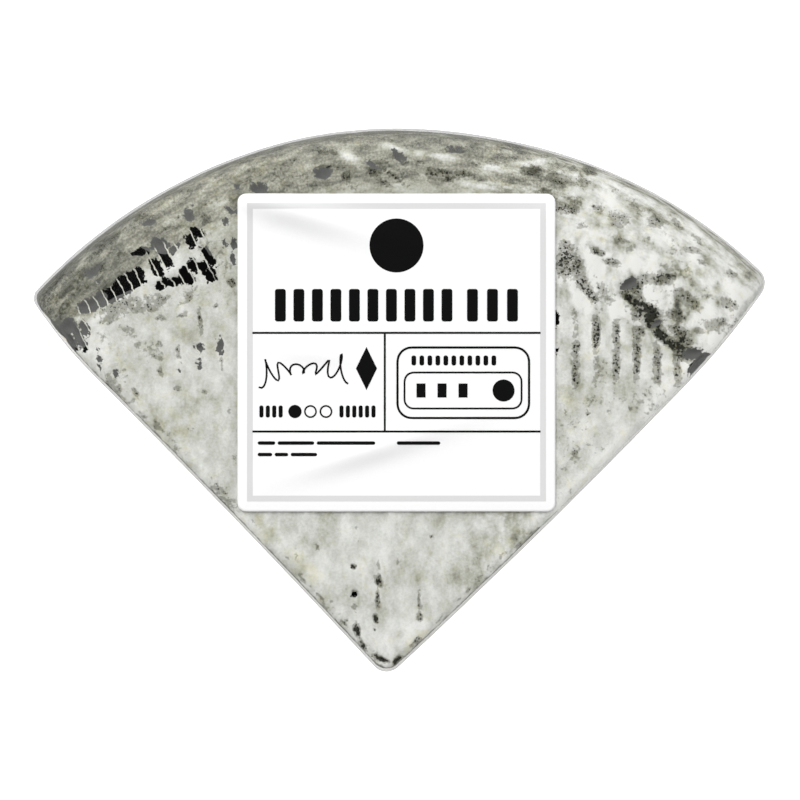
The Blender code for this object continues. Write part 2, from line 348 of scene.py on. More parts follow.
def value_noise(place, seed):
    """Lattice values blended over each unit cube with eased weights, from -1 to 1."""
    cells = [np.floor(part).astype(np.int64) for part in place]
    eased = [smooth(0.0, 1.0, part - cell) for part, cell in zip(place, cells)]
    total = np.zeros(np.broadcast(*place).shape)
    for corner in range(8):
        offsets = [(corner >> axis) & 1 for axis in range(3)]
        weight = 1.0
        for ease, offset in zip(eased, offsets):
            weight = weight * (ease if offset else 1.0 - ease)
        total += weight * lattice_value([cell + offset for cell, offset in zip(cells, offsets)], seed)
    return 2.0 * total - 1.0


def cloud(place, size, octaves, seed):
    """Octaves of value noise, each half as large and 0.55 as strong as the last, scaled back to -1 to 1."""
    total, strength, strengths = 0.0, 1.0, 0.0
    for octave in range(octaves):
        scale = 2.0 ** octave / size
        total = total + strength * value_noise([part * scale for part in place], seed + octave)
        strengths += strength
        strength *= 0.55
    return total / strengths


# %% [markdown]
# ## What grows on the rind
#
# Marks are ellipses on the map: where, half length, half width, how steeply they lean down to the right,
# and how strong they are. Soft marks fade like a bell curve, or like a bell with a flat top where they are
# patches, and say how sooty, pale or warm the rind is. Hard marks have an edge: they are hollows where the
# film spans bare black ash, and some of them are painted grey, a painted reflection of the lights in the
# film.

# %% Marks on the map: (across, down, half length, half width, lean in degrees, strength)
SOOTY_RIGHT = (
    (566, 208, 16, 6, 10, 0.97), (598, 207, 9, 5, 0, 0.69), (581, 225, 8, 5, 0, 0.81),
    (618, 216, 14, 10, 20, 0.49), (656, 221, 10, 9, 45, 0.86), (678, 222, 12, 5, 45, 0.69),
    (697, 238, 9, 4, 50, 0.69), (565, 246, 10, 8, 30, 0.97), (573, 266, 17, 14, 50, 0.90),
    (589, 292, 15, 6, 65, 0.97), (597, 251, 11, 5, 20, 0.92), (613, 262, 12, 5, 15, 0.97),
    (630, 248, 7, 4, 0, 0.69), (693, 249, 11, 5, 10, 0.81), (702, 261, 6, 4, 30, 0.81),
    (687, 269, 10, 6, 50, 0.57), (658, 279, 20, 7, 0, 0.86), (683, 297, 22, 9, 40, 0.57),
    (729, 303, 13, 8, 30, 0.52), (708, 293, 10, 4, 60, 0.69), (729, 272, 8, 6, 40, 0.52),
    (716, 322, 14, 7, -10, 0.75), (679, 331, 14, 8, 30, 0.92), (638, 314, 12, 8, 45, 0.86),
    (677, 347, 8, 5, 60, 0.75), (650, 300, 16, 7, 30, 0.63), (606, 300, 16, 6, 30, 0.52),
    (650, 311, 14, 8, 44, 1.45), (630, 299, 14, 5, 38, 1.15), (641, 306, 16, 6, 40, 1.20),
    (656, 322, 14, 6, 65, 1.20), (648, 318, 26, 9, 47, 1.00), (660, 334, 9, 6.5, 55, 1.45),
    (668, 341, 14, 6, 45, 1.10), (679, 348, 16, 7, 35, 1.00), (686, 355, 14, 8, 20, 0.97),
    (640, 297, 10, 4, 40, 0.97), (600, 283, 14, 6, 60, 0.97), (622, 240, 14, 5, 20, 0.63),
    (668, 236, 14, 6, 45, 0.75), (663, 266, 16, 6, 15, 0.66), (686, 298, 24, 9, 40, 0.75),
    (729, 303, 14, 8, 30, 0.74), (619, 218, 16, 12, 20, 0.68), (732, 272, 8, 6, 40, 0.68),
    (558, 176, 16, 8, 10, 0.74), (583, 180, 10, 6, 30, 0.77), (707, 324, 18, 7, 20, 0.74),
    (565, 412, 4, 2, 80, 0.78), (587, 412, 5, 2.4, 80, 0.78), (609, 412, 4, 2, 60, 0.74),
    (630, 408, 3, 2, 0, 0.78), (640, 262, 10, 5, 10, 0.63), (676, 316, 18, 8, 30, 0.72),
    (700, 330, 12, 5, 20, 0.69), (716, 282, 8, 6, 30, 0.63), (566, 262, 14, 22, 0, 0.97),
    (583, 282, 18, 9, 50, 0.92), (657, 277, 24, 9, 5, 0.97), (635, 285, 14, 8, -20, 0.97),
    (594, 298, 6, 5, 60, 0.97), (685, 340, 10, 6, 35, 0.97), (640, 330, 8, 6, 50, 0.81),
    (688, 349, 8, 4, 30, 0.92),
)
SOOTY_TOP = (
    (324, 165, 9, 2, 0, 1.20), (392, 174, 24, 1.8, 38, 1.00), (378, 160, 14, 4, 0, 0.70),
    (439, 173, 14, 7, 0, 0.95), (374, 170, 10, 7, 30, 0.84), (346, 175, 7, 7, 0, 0.90),
    (338, 164, 12, 4, 10, 0.66), (352, 186, 10, 5, 20, 0.60), (384, 182, 16, 4, 35, 0.72),
    (400, 155, 12, 6, 40, 0.84), (455, 147, 14, 5, 5, 0.72), (430, 172, 8, 7, 50, 0.84),
    (448, 175, 12, 7, 10, 1.00), (462, 172, 12, 5, 0, 0.96), (493, 162, 10, 5, 20, 1.00),
    (530, 168, 16, 8, 10, 0.72), (512, 142, 14, 5, 20, 0.72), (478, 163, 14, 4, 20, 0.60),
    (560, 180, 12, 6, 30, 0.66), (420, 160, 8, 6, 30, 0.54), (330, 150, 22, 3, 5, 0.66),
    (290, 160, 26, 4, -22, 0.48), (250, 176, 22, 4, -25, 0.54), (310, 183, 14, 6, 0, 0.48),
    (545, 190, 12, 5, 20, 0.72), (590, 168, 12, 6, 30, 0.72),
)
SOOTY_LEFT = (
    (53, 280, 22, 3, -48, 0.75), (62, 268, 26, 3, -42, 0.60), (50, 300, 16, 4, -55, 0.55),
    (78, 268, 12, 4, -20, 0.50), (75, 287, 12, 6, -30, 0.50), (136, 226, 12, 4, -15, 0.45),
    (150, 230, 18, 4, -8, 0.40), (176, 215, 14, 3, -20, 0.55), (190, 217, 8, 6, 60, 0.45),
    (204, 215, 8, 4, 10, 0.65), (198, 301, 16, 5, -30, 0.30), (183, 314, 9, 4, -20, 0.75),
    (160, 318, 6, 8, 80, 0.50), (231, 282, 6, 6, 0, 0.85), (228, 266, 6, 9, 0, 0.55),
    (203, 232, 6, 4, 0, 0.75), (118, 304, 20, 8, -25, 0.70), (146, 298, 18, 7, -12, 0.62),
    (62, 305, 22, 8, -60, 0.55), (115, 355, 5, 5, 0, 0.45), (178, 356, 15, 4, 82, 0.55),
    (137, 344, 5, 4, 0, 0.65), (159, 344, 5, 4, 60, 0.75), (201, 327, 11, 2.6, 88, 0.80),
    (220, 377, 6, 4, 60, 0.45), (142, 416, 8, 4, 40, 0.60), (199, 318, 14, 2.4, 86, 0.95),
    (178, 352, 12, 3, 84, 0.85), (221, 362, 12, 3, 84, 0.80), (160, 372, 8, 3, 70, 0.70),
    (204, 392, 5, 3, 20, 0.72), (176, 388, 6, 4, 0, 0.66), (136, 394, 12, 4, 60, 0.60),
    (104, 340, 16, 8, 50, 0.50), (160, 300, 16, 5, -20, 0.70), (215, 305, 8, 3, -40, 0.62),
    (228, 410, 6, 3, 60, 0.60), (190, 428, 9, 4, 40, 0.50), (115, 387, 10, 5, 50, 0.60),
    (176, 389, 5, 4, 0, 0.40), (100, 362, 14, 4, 75, 0.45), (222, 240, 8, 4, 70, 0.50),
    (112, 312, 26, 12, -25, 0.68), (150, 304, 24, 10, -14, 0.64), (126, 330, 18, 8, 40, 0.50),
    (96, 268, 10, 7, -30, 0.80), (150, 352, 22, 14, 30, 0.44), (204, 246, 16, 12, 0, 0.52),
    (222, 262, 12, 18, 0, 0.50), (120, 372, 14, 8, 60, 0.52), (80, 275, 14, 5, -35, 0.62),
    (66, 290, 14, 4, -45, 0.66), (120, 252, 12, 5, -20, 0.60), (112, 236, 14, 4, -30, 0.50),
    (140, 214, 14, 4, -28, 0.55), (170, 226, 18, 4, -12, 0.60), (210, 200, 16, 4, -20, 0.55),
    (230, 198, 10, 5, 0, 0.55), (192, 290, 22, 6, -25, 0.50), (186, 300, 16, 5, -35, 0.60),
    (205, 222, 10, 4, -30, 0.60), (96, 250, 18, 4, -38, 0.55),
)
SOOTY_POINT = (
    (295, 555, 9, 2.6, 88, 1.05), (317, 547, 4, 2.6, 80, 1.05), (353, 566, 4, 3.6, 0, 1.30),
    (354, 608, 7, 2.6, 82, 0.85), (378, 580, 9, 5, 80, 1.15), (377, 597, 13, 3, 88, 1.05),
    (378, 565, 8, 2.4, 84, 0.85), (375, 618, 6, 3, 80, 1.50), (374, 629, 2.4, 2, 0, 1.20),
    (356, 630, 10, 4.6, 82, 1.45), (361, 645, 9, 4, 60, 1.20), (331, 601, 4, 2.4, 70, 0.80),
    (302, 581, 6, 3, 45, 1.00), (397, 560, 8, 2.4, 88, 0.60), (419, 617, 7, 4.5, 80, 1.15),
    (419, 602, 17, 3, 88, 0.85), (431, 536, 3, 2.4, 0, 0.95), (356, 527, 2, 2, 0, 0.80),
    (417, 641, 10, 6, -45, 1.05), (380, 659, 11, 4, 22, 1.55), (397, 661, 7, 4.4, -40, 1.50),
    (503, 555, 9, 5, -45, 0.85), (519, 547, 8, 4, -45, 0.95), (468, 591, 8, 3, -45, 0.70),
    (460, 600, 8, 3, -45, 0.65), (235, 458, 7, 3, 80, 0.65), (222, 444, 4, 5, 0, 0.45),
    (285, 556, 8, 3, 45, 0.55), (224, 500, 8, 3, 45, 0.70), (211, 478, 8, 3, 45, 0.60),
    (318, 596, 9, 3, 45, 0.75), (343, 624, 8, 3, 45, 0.80), (247, 520, 8, 3, 45, 0.55),
    (440, 620, 10, 3, -45, 0.65), (536, 532, 10, 4, -45, 0.75),
)
HOLLOWS = (
    (629, 283, 10, 5.5, -38), (657, 322, 7, 2.6, -25), (694, 353, 11, 6, 0), (699, 364, 15, 7, -50),
    (556, 317, 7, 2, 88), (556, 350, 6, 1.8, 88), (162, 284, 8, 4.5, -25), (174, 281, 9, 5, -5),
    (187, 279, 9, 5.5, 20), (184, 271, 6, 5, 0), (193, 265, 8, 5, 62), (202, 268, 8, 4.2, 62),
    (208, 257, 12, 5, 62), (210, 274, 8, 6, 70), (190, 240, 8, 5.4, 62), (196, 231, 8, 5, 25),
    (155, 266, 11, 5.4, 62), (165, 258, 11, 5.4, 62), (174, 247, 7, 3.6, -60), (84, 328, 4.5, 9, -20),
    (65, 338, 18, 6, 55), (65, 327, 11, 6.5, -60), (75, 332, 12, 5.5, 62), (82, 344, 8, 4.5, 75),
    (89, 271, 7, 3.5, -12), (96, 265, 4, 3, -20), (96, 279, 3, 2.5, 0), (186, 208, 5.5, 2, -50),
    (147, 220, 8, 3.4, -15), (188, 214, 6, 4.5, 70), (231, 209, 7, 3.5, 10), (224, 220, 3.5, 4, 0),
    (224, 243, 2.6, 3.6, 0), (234, 243, 5, 3.6, 75), (258, 186, 9, 6, 5), (232, 259, 6, 3, 75),
    (236, 184, 3.5, 3, 0), (158, 243, 11, 7, 15), (140, 250, 9, 4, -10), (372, 163, 8, 3, 35),
    (322, 171, 9, 6.5, 0), (398, 153, 9, 4, 42), (199, 347, 5, 4, 10), (199, 365, 5.5, 2.6, 80),
    (220, 346, 8.5, 3.4, 88), (115, 373, 5.5, 2.6, 88), (99, 358, 5, 2.8, 80), (98, 349, 2.6, 2, 0),
    (98, 367, 4, 2.4, 60), (179, 371, 3, 1.8, 88), (143, 280, 3, 2.4, 40), (455, 147, 9, 3, 5),
)
# Where the bare ash is painted grey: a painted reflection of the lights in the film over it.
PAINTED_REFLECTION_HOLLOWS = (
    (66, 325, 26, 24, 0), (90, 270, 14, 9, -20), (96, 279, 5, 4, 0), (88, 304, 19, 11, -32),
    (124, 295, 24, 4.5, -22), (158, 240, 26, 12, 10), (186, 209, 14, 10, 0), (147, 220, 14, 8, 0),
    (188, 214, 8, 8, 0), (235, 220, 16, 60, 0), (258, 186, 16, 14, 0), (322, 172, 15, 12, 0),
    (376, 162, 60, 24, 10), (455, 147, 30, 12, 0), (200, 358, 12, 24, 0), (220, 346, 8, 16, 0),
    (115, 373, 8, 16, 0), (99, 358, 8, 20, 0), (179, 371, 6, 6, 0), (629, 283, 14, 9, -38),
    (658, 322, 9, 6, -25), (704, 368, 24, 12, -50), (695, 352, 15, 8, -8), (207, 244, 5, 9, -30),
)
PALE_SPOTS = (
    (349, 155, 10, 5, 30, 1.00), (395, 146, 16, 3.5, 18, 0.75), (420, 152, 8, 4, 0, 0.60),
    (450, 156, 26, 3, 8, 0.65), (498, 166, 22, 4, 12, 0.75), (534, 160, 20, 3, -10, 0.65),
    (440, 175, 6, 4, 0, 0.40), (480, 184, 30, 5, 12, 0.50), (600, 196, 26, 8, 20, 0.60),
    (590, 236, 20, 8, 30, 0.60), (640, 264, 22, 12, 10, 0.75), (668, 235, 16, 9, 20, 0.60),
    (600, 280, 16, 9, 10, 0.60), (690, 322, 16, 6, 0, 0.70), (714, 284, 14, 12, 30, 0.60),
    (648, 297, 9, 5, 30, 0.65), (178, 268, 10, 6, -15, 0.70), (150, 275, 8, 4, -10, 0.60),
    (160, 272, 12, 4, -20, 0.60), (215, 266, 10, 8, 0, 0.50), (290, 548, 40, 5, 50, 0.50),
    (262, 538, 24, 5, 48, 0.50), (330, 585, 22, 5, 45, 0.45), (506, 536, 16, 4, 60, 0.40),
    (388, 640, 14, 10, 0, 0.45), (272, 545, 12, 8, 40, 0.55), (310, 566, 14, 7, 50, 0.60),
    (400, 626, 18, 9, 0, 0.60), (402, 640, 14, 8, -20, 0.60), (372, 548, 12, 16, 20, 0.35),
    (524, 552, 8, 8, 0, 0.55), (498, 576, 10, 6, -45, 0.55), (508, 560, 8, 6, 0, 0.50),
    (78, 318, 6, 3, -20, 0.65), (100, 316, 10, 2.4, -30, 0.60), (70, 333, 4, 3, 0, 0.55),
    (585, 250, 6, 20, 0, 0.35),
)
WARM_SPOTS = (
    (268, 532, 34, 16, 40, 0.8), (304, 566, 40, 14, 48, 0.9), (420, 640, 34, 16, 0, 0.8),
    (500, 545, 34, 16, -30, 0.7), (120, 360, 30, 16, 40, 0.6), (180, 420, 34, 14, 40, 0.6),
    (575, 400, 30, 12, 0, 0.8), (600, 215, 30, 12, 20, 0.6), (602, 238, 8, 5, 0, 0.9),
    (648, 229, 7, 6, 0, 0.8), (688, 270, 9, 8, 40, 1.0), (634, 238, 8, 6, 0, 0.6), (500, 180, 22, 3, 15, 1.0),
    (697, 305, 12, 5, 45, 0.8), (170, 235, 26, 3, -8, 0.8), (200, 305, 16, 8, -20, 0.6),
    (524, 552, 9, 9, 0, 0.6), (160, 350, 10, 8, 0, 0.35), (205, 228, 20, 4, -10, 0.7),
    (565, 395, 14, 12, 0, 0.5),
)


# %% Bell-shaped and hard-edged marks
EDGE_FALL = 1.1
SQUARENESS = 2.6
FAR_OUTSIDE = 40.0


def leaning(across, down, mark):
    """A mark's own two coordinates: how many half lengths and half widths a place lies from its middle."""
    middle_across, middle_down, half_length, half_width, lean = mark[:5]
    turn = math.radians(lean)
    to_right, to_bottom = across - middle_across, down - middle_down
    along = (to_right * math.cos(turn) + to_bottom * math.sin(turn)) / half_length
    aside = (to_bottom * math.cos(turn) - to_right * math.sin(turn)) / half_width
    return along, aside


def soft_marks(across, down, marks, flatness=1.0):
    """The strongest of several bell curves, each a third of its height at its mark's edge, or flatter."""
    strongest = np.zeros(across.shape)
    for mark in marks:
        along, aside = leaning(across, down, mark)
        fall = EDGE_FALL * (along * along + aside * aside) ** flatness
        strongest = np.maximum(strongest, mark[5] * np.exp(-fall))
    return strongest


def hard_marks(across, down, marks):
    """How many pixels a place lies inside the nearest mark, or outside it when negative."""
    deepest = np.full(across.shape, -FAR_OUTSIDE)
    for mark in marks:
        along, aside = leaning(across, down, mark)
        rounded = (np.abs(along) ** SQUARENESS + np.abs(aside) ** SQUARENESS) ** (1.0 / SQUARENESS)
        deepest = np.maximum(deepest, (1.0 - rounded) * min(mark[2], mark[3]))
    return deepest


# %% [markdown]
# The wheel ripened on a mat of rods, which left ridges every 2.6 mm across the top. To the right of the
# label the white mould sits on the ridges and the furrows between them are full of ash, so they show as
# dark stripes. On the left the film pulls a row of little rungs over a long hollow under the shoulder. Both
# repeat, so both are worked out: the stripes from a cosine, the rungs from a place counted along the
# hollow, which the material reads.

# %% Stripes, rungs and the long hollow
RIDGE_PITCH = 0.0026
STRIPE_START = 575.0
STRIPE_PITCH = 20.5
RUNG_START = (92.7, 297.0)
RUNG_LEAN = 0.526
RUNG_PITCH = 10.95
LONG_HOLLOW = ((75, 313, 302), (90, 312, 296), (99, 307, 289), (108, 304, 287), (114, 301, 278),
               (124, 296, 272), (134, 289, 266), (143, 283, 266))


def stripes(across, down):
    """Ash in the furrows right of the label: a narrow cosine wave, and the leaning field that it fills."""
    wave = 0.5 + 0.5 * np.cos(2.0 * math.pi * (across - STRIPE_START) / STRIPE_PITCH)
    top_edge = 303.0 + 0.26 * (across - 560.0)
    striped = smooth(-6.0, 8.0, down - top_edge) * smooth(404.0, 372.0, down) * smooth(556.0, 566.0, across)
    return striped * wave ** 1.3, striped


def rung_place(across, down):
    """A count along the hollow that is a whole number on each rung, as the rungs lean."""
    return (across - RUNG_START[0] - RUNG_LEAN * (down - RUNG_START[1])) / RUNG_PITCH


def long_hollow(across, down):
    """Pixels inside the hollow that the rungs cross: between a lower and an upper edge that vary along it."""
    stops, lower, upper = (np.array(column, float) for column in zip(*LONG_HOLLOW))
    low_edge = np.interp(across, stops, lower)
    high_edge = np.interp(across, stops, upper)
    inside = np.minimum(low_edge - down, down - high_edge)
    ends = np.minimum(across - stops[0], stops[-1] - across)
    return np.minimum(inside, ends)


# %% [markdown]
# The rind isn't the same all over. The band near the rim is greyer than the middle, its left corner is
# darker still, and the right side has thick white bloom. Each part is a share from 0 to 1 with eased edges,
# so a field can be a level plus a weight for each part, and the parts run into one another as they do on
# the real rind.

# %% The parts of the rind
def rind_parts(place):
    """Each part's share at a place, with its map place, its depth in from the rim in mm and a slow warp."""
    across, down = map_place(*place)
    rim_depth = 1000.0 * (WHEEL_RADIUS - np.hypot(place[0] - WHEEL_CENTRE[0], place[1] - WHEEL_CENTRE[1]))
    warp = 6.0 * cloud(place, 0.005, 3, 11)
    right = smooth(535.0, 590.0, across + warp)
    band = smooth(8.6, 6.6, rim_depth + 0.12 * warp) * (1.0 - right)
    furrows, striped = stripes(across, down)
    beside_label = smooth(192.0, 214.0, across) * smooth(310.0, 262.0, down)
    return {
        "across": across,
        "down": down,
        "rim_depth": rim_depth,
        "warp": warp,
        "right": right,
        "top_right": smooth(440.0, 520.0, across) * (1.0 - right),
        "band": band,
        "corner": band * smooth(170.0, 70.0, across),
        "near_label": beside_label * (1.0 - right) * (1.0 - band),
        "right_upper": right * smooth(405.0, 350.0, down),
        "right_bright": right * smooth(400.0, 330.0, down),
        "right_edge": right * smooth(4.0, 1.0, rim_depth),
        # Painted light: a band along the right cut's edge where the bloom is lightened against the shade of
        # its slope.
        "right_cut_painted_light": right * smooth(3.5, 1.0, -1000.0 * cut_distance(place[0], place[1], RIGHT_CUT, 0.0)),
        "rim_edge": smooth(1.8, 0.3, rim_depth),
        "band_right": band * smooth(440.0, 520.0, across) * (1.0 - right),
        "point": smooth(480.0, 530.0, down),
        "point_sides": smooth(480.0, 530.0, down) * smooth(30.0, 70.0, np.abs(across - 392.0)),
        "furrows": furrows,
        "striped": striped,
        "right_plain": right * (1.0 - striped),
    }


def by_part(part, recipe):
    """A level everywhere, plus each named part's share of its weight."""
    level, weights = recipe
    return level + sum(weight * part[name] for name, weight in weights.items())


# %% [markdown]
# The bloom is how pale the rind is, and the soot how much ash shows through it. Both take the levels of
# their parts, then clouds whose strength also goes by part. Soot is strongest in the marks, in the furrows
# of the mat and along the edges of the outline, where it is partly painted shade: the dark line round the
# top. Marks belong to the top, so they fade out below the shoulder.

# %% Bloom and soot
# The bloom is lightened along the right cut's edge: painted light against the shade of that slope.
BLOOM = (0.66, {"band": -0.44, "band_right": 0.08, "corner": -0.18, "near_label": -0.20, "point": 0.04,
                "point_sides": -0.09, "right_bright": 0.05, "right_edge": -0.16, "right_cut_painted_light": 0.32,
                "rim_edge": -0.20})
BLOOM_CLOUDS = (0.11, {"band": -0.03, "right": 0.10})
SLOW_CLOUDS = 0.05
SOOT = (0.14, {"band": 0.14, "near_label": 0.10, "right_plain": 0.16, "corner": 0.08})
SOOT_CLOUDS = (0.22, {"band": 0.14, "right": 0.22})
PATCH_FLATNESS = 1.8
FURROW_SOOT = 0.94
# Darkening along the outline: ash, and painted shade of the dark line round the top's edge.
EDGE_SOOT_AND_SHADE = 0.55
EDGE_SOOT_AND_SHADE_WIDTH = 0.7
RIGHT_EDGE_CLEAN = 0.6


def bloom_field(place, part):
    """How pale the bloom is, from the levels of the parts and clouds of two sizes."""
    tone = by_part(part, BLOOM) + by_part(part, BLOOM_CLOUDS) * cloud(place, 0.0045, 4, 21)
    return tone + SLOW_CLOUDS * cloud(place, 0.013, 2, 31)


def soot_field(place, part, on_top):
    """How sooty the rind is: the largest of its clouds, its marks, its furrows and its edges, partly painted
    shade.
    """
    clouds = by_part(part, SOOT) + by_part(part, SOOT_CLOUDS) * cloud(place, 0.0032, 4, 41)
    patches = soft_marks(part["across"], part["down"], SOOTY_RIGHT + SOOTY_TOP + SOOTY_LEFT, PATCH_FLATNESS)
    streaks = soft_marks(part["across"], part["down"], SOOTY_POINT)
    furrows = FURROW_SOOT * part["furrows"] * (0.80 + 0.8 * cloud(place, 0.0042, 2, 51))
    # Darker along the outline: ash, and painted shade of the dark line round the edge.
    from_edge = -1000.0 * outline_distance(place[0], place[1], PASTE_BELLY + CUT_EDGE[0], 0.0)
    at_edge = EDGE_SOOT_AND_SHADE * np.exp(-np.maximum(from_edge, 0.0) / EDGE_SOOT_AND_SHADE_WIDTH)
    at_edge = at_edge * (0.5 + 1.2 * cloud(place, 0.0028, 3, 61)) * (1.0 - RIGHT_EDGE_CLEAN * part["right"])
    return np.maximum.reduce([clouds, np.maximum(patches, streaks) * on_top, furrows, at_edge])


# %% [markdown]
# The fields are numbers kept at each vertex, which the material reads: how pale, how sooty and how warm the
# rind is, how far a place lies inside a hollow, how far in from the rind on a cut face, and a map of its
# own for the rim, along it and in from it, on which the mould there is drawn out lengthwise.

# %% All fields of the cheese
UNDER_SHOULDER = 0.035
MAP_PIXELS_PER_MM = 7.8
CONTRAST = (0.36, {"band": 0.12, "top_right": 0.25, "right_upper": 0.70})
GRIT = (0.50, {"band": 0.30, "top_right": 0.20})
FLOW = 0.85
ASH_EDGE = (0.75, {"right": -0.5})
LADDER_TOP = (75.0, 296.0, -0.62)


def rind_fields(grid):
    """All fields as arrays over the grid. Hollows are mm inside, and skin is mm in from the nearest rind."""
    place = x, y, z = grid[..., 0], grid[..., 1], grid[..., 2]
    part = rind_parts(place)
    across, down, rim_depth = part["across"], part["down"], part["rim_depth"]
    flow = FLOW * smooth(11.0, 8.0, rim_depth + 0.1 * part["warp"])
    flow = flow * (1.0 - 0.6 * part["right"] * smooth(2.0, 4.0, rim_depth))
    on_top = smooth(0.024, 0.032, z)
    inside = np.maximum(hard_marks(across, down, HOLLOWS), long_hollow(across, down))
    from_ladder = down - LADDER_TOP[1] - LADDER_TOP[2] * (across - LADDER_TOP[0])
    pale = soft_marks(across, down, PALE_SPOTS)
    wheel_side = rim_depth / 1000.0 - side_insets(np.clip(z, 0.0, WEDGE_HEIGHT))[1]
    turn = np.arctan2(x - WHEEL_CENTRE[0], y - WHEEL_CENTRE[1])
    down_the_side = 1000.0 * np.maximum(UNDER_SHOULDER - z, 0.0)
    return {
        "pale": bloom_field(place, part) * (1.0 - pale) + pale,
        "soot": soot_field(place, part, on_top) * (1.0 - 0.8 * pale),
        "hollow": (inside - FAR_OUTSIDE * (1.0 - on_top)) / MAP_PIXELS_PER_MM,
        # How far inside a hollow that is painted grey, as a painted reflection of the film.
        "grey": hard_marks(across, down, PAINTED_REFLECTION_HOLLOWS) / MAP_PIXELS_PER_MM,
        "rung": rung_place(across, down),
        "rungs": smooth(73.0, 77.0, across) * smooth(216.0, 211.0, across) * smooth(-6.0, 0.0, from_ladder),
        "warm": np.maximum(soft_marks(across, down, WARM_SPOTS), 0.25 + 0.5 * cloud(place, 0.006, 3, 71)),
        "skin": 1000.0 * np.minimum.reduce([top_height(x, y) - z, z, wheel_side]),
        "ash_edge": by_part(part, ASH_EDGE),
        "contrast": np.minimum(by_part(part, CONTRAST) * (1.0 - 0.5 * part["striped"]), 1.0),
        "flow": flow,
        "grit": by_part(part, GRIT),
        "rim_along": 1000.0 * turn * WHEEL_RADIUS,
        "rim_depth": np.where(z > 0.5 * WEDGE_HEIGHT, rim_depth, -rim_depth) - down_the_side,
    }


# %% [markdown]
# ## The cheese
#
# The cheese lies just inside its film. Its relief comes from the fields: ridges from the mat, a soft crust
# where the bloom is thick, hollows of up to a millimetre, and small caves of blue mould in the cut faces.

# %% The cheese's relief and mesh
FILM_GAP = 0.00018
SIDE_GAP = 0.00004
CRUST_HEIGHT = 0.00016
RIDGE_HEIGHT = 0.00016
HOLLOW_DEPTH = 0.0007
PIT_PLACE = (354.0, 594.0)
PIT_RADIUS = 3.2
PIT_DEPTH = 0.0016
CAVE_DEPTH = 0.0011
KNIFE_MARKS = 0.00005
PASTE_SET_BACK = 0.00035
RELIEF_LIMIT = 0.0001
CHEESE_LOWEST = 0.0001
CHEESE_PLACES, CHEESE_CELL = 632, 0.00036


def cave_field(place):
    """Where blue mould eats into the paste: the high parts of a cloud that is flattened a little."""
    x, y, z = place
    return cloud((x, y, z * 1.5), 0.0062, 3, 81) + 0.35 * cloud(place, 0.0021, 2, 91)


def make_cheese():
    """The cheese: the skin grid, each place moved along its normal by its relief."""
    grid = skin_grid(CHEESE_PLACES, CHEESE_CELL)
    fields = rind_fields(grid)
    place = x, y, z = grid[..., 0], grid[..., 1], grid[..., 2]
    normal = outward(grid)
    facing_up = smooth(0.5, 0.9, normal[..., 2])
    ridges = -RIDGE_HEIGHT * (0.5 + 0.5 * np.cos(2.0 * math.pi * x / RIDGE_PITCH)) * facing_up
    crust = CRUST_HEIGHT * (fields["pale"] - 0.6 - 0.5 * fields["soot"] + 0.35 * cloud(place, 0.0016, 3, 101))
    hollow = -HOLLOW_DEPTH * smooth(-0.15, 0.7, fields["hollow"])
    across, down = map_place(x, y, z)
    from_pit = np.hypot(across - PIT_PLACE[0], down - PIT_PLACE[1]) / PIT_RADIUS
    pit = -PIT_DEPTH * smooth(1.25, 0.3, from_pit) * facing_up
    in_paste = smooth(1.0, 2.0, fields["skin"])
    caves = cave_field(place)
    cave_relief = -CAVE_DEPTH * smooth(0.30, 0.62, caves) * in_paste
    knife = KNIFE_MARKS * cloud((x, y, z * 0.15), 0.0011, 2, 111) * in_paste
    set_back = -PASTE_SET_BACK * smooth(0.8, 6.0, fields["skin"])
    relief = (ridges + crust + hollow) * (1.0 - in_paste) + cave_relief + knife + set_back + pit
    fields["caves"] = caves
    fields["hollow"] = np.maximum(fields["hollow"], np.where(facing_up > 0.5, (1.0 - from_pit) * 0.4, -5.0))
    gap = FILM_GAP + SIDE_GAP * smooth(0.5, 0.1, np.abs(normal[..., 2]))
    moved = grid + normal * (np.minimum(relief, RELIEF_LIMIT) - gap)[..., None]
    moved[..., 2] = np.maximum(moved[..., 2], CHEESE_LOWEST)
    return skin_mesh("cheese", moved, fields)


cheese = make_cheese()

# %% [markdown]
# ## Shader helpers
#
# A material here is a tree of small steps. Three helpers keep the trees short: one adds a node and fills
# its inputs with numbers or with other nodes' outputs, one does arithmetic, and one gives an eased step.


# %% Helpers for node trees
def add(tree, kind, inputs=None, **settings):
    """A new node with its settings, and its inputs set to values or linked to other sockets."""
    made = tree.nodes.new(kind)
    for name, value in settings.items():
        setattr(made, name, value)
    for key, value in (inputs or {}).items():
        if isinstance(value, bpy.types.NodeSocket):
            tree.links.new(value, made.inputs[key])
        else:
            made.inputs[key].default_value = value
    return made


def calc(tree, operation, *values):
    """The result of one arithmetic step on numbers or sockets."""
    return add(tree, "ShaderNodeMath", dict(enumerate(values)), operation=operation).outputs[0]


def step(tree, value, low, high):
    """An eased step in a shader: 0 at low, 1 at high."""
    inputs = {"Value": value, "From Min": low, "From Max": high}
    return add(tree, "ShaderNodeMapRange", inputs, interpolation_type="SMOOTHSTEP").outputs["Result"]


def blend(tree, share, first, second, how="MIX"):
    """A colour between two colours, or the first multiplied by the second where how is MULTIPLY."""
    inputs = {0: share, 6: first, 7: second}
    return add(tree, "ShaderNodeMix", inputs, data_type="RGBA", blend_type=how).outputs[2]


def field(tree, name):
    """A field that was kept at the vertices."""
    return add(tree, "ShaderNodeAttribute", attribute_name=name).outputs["Fac"]


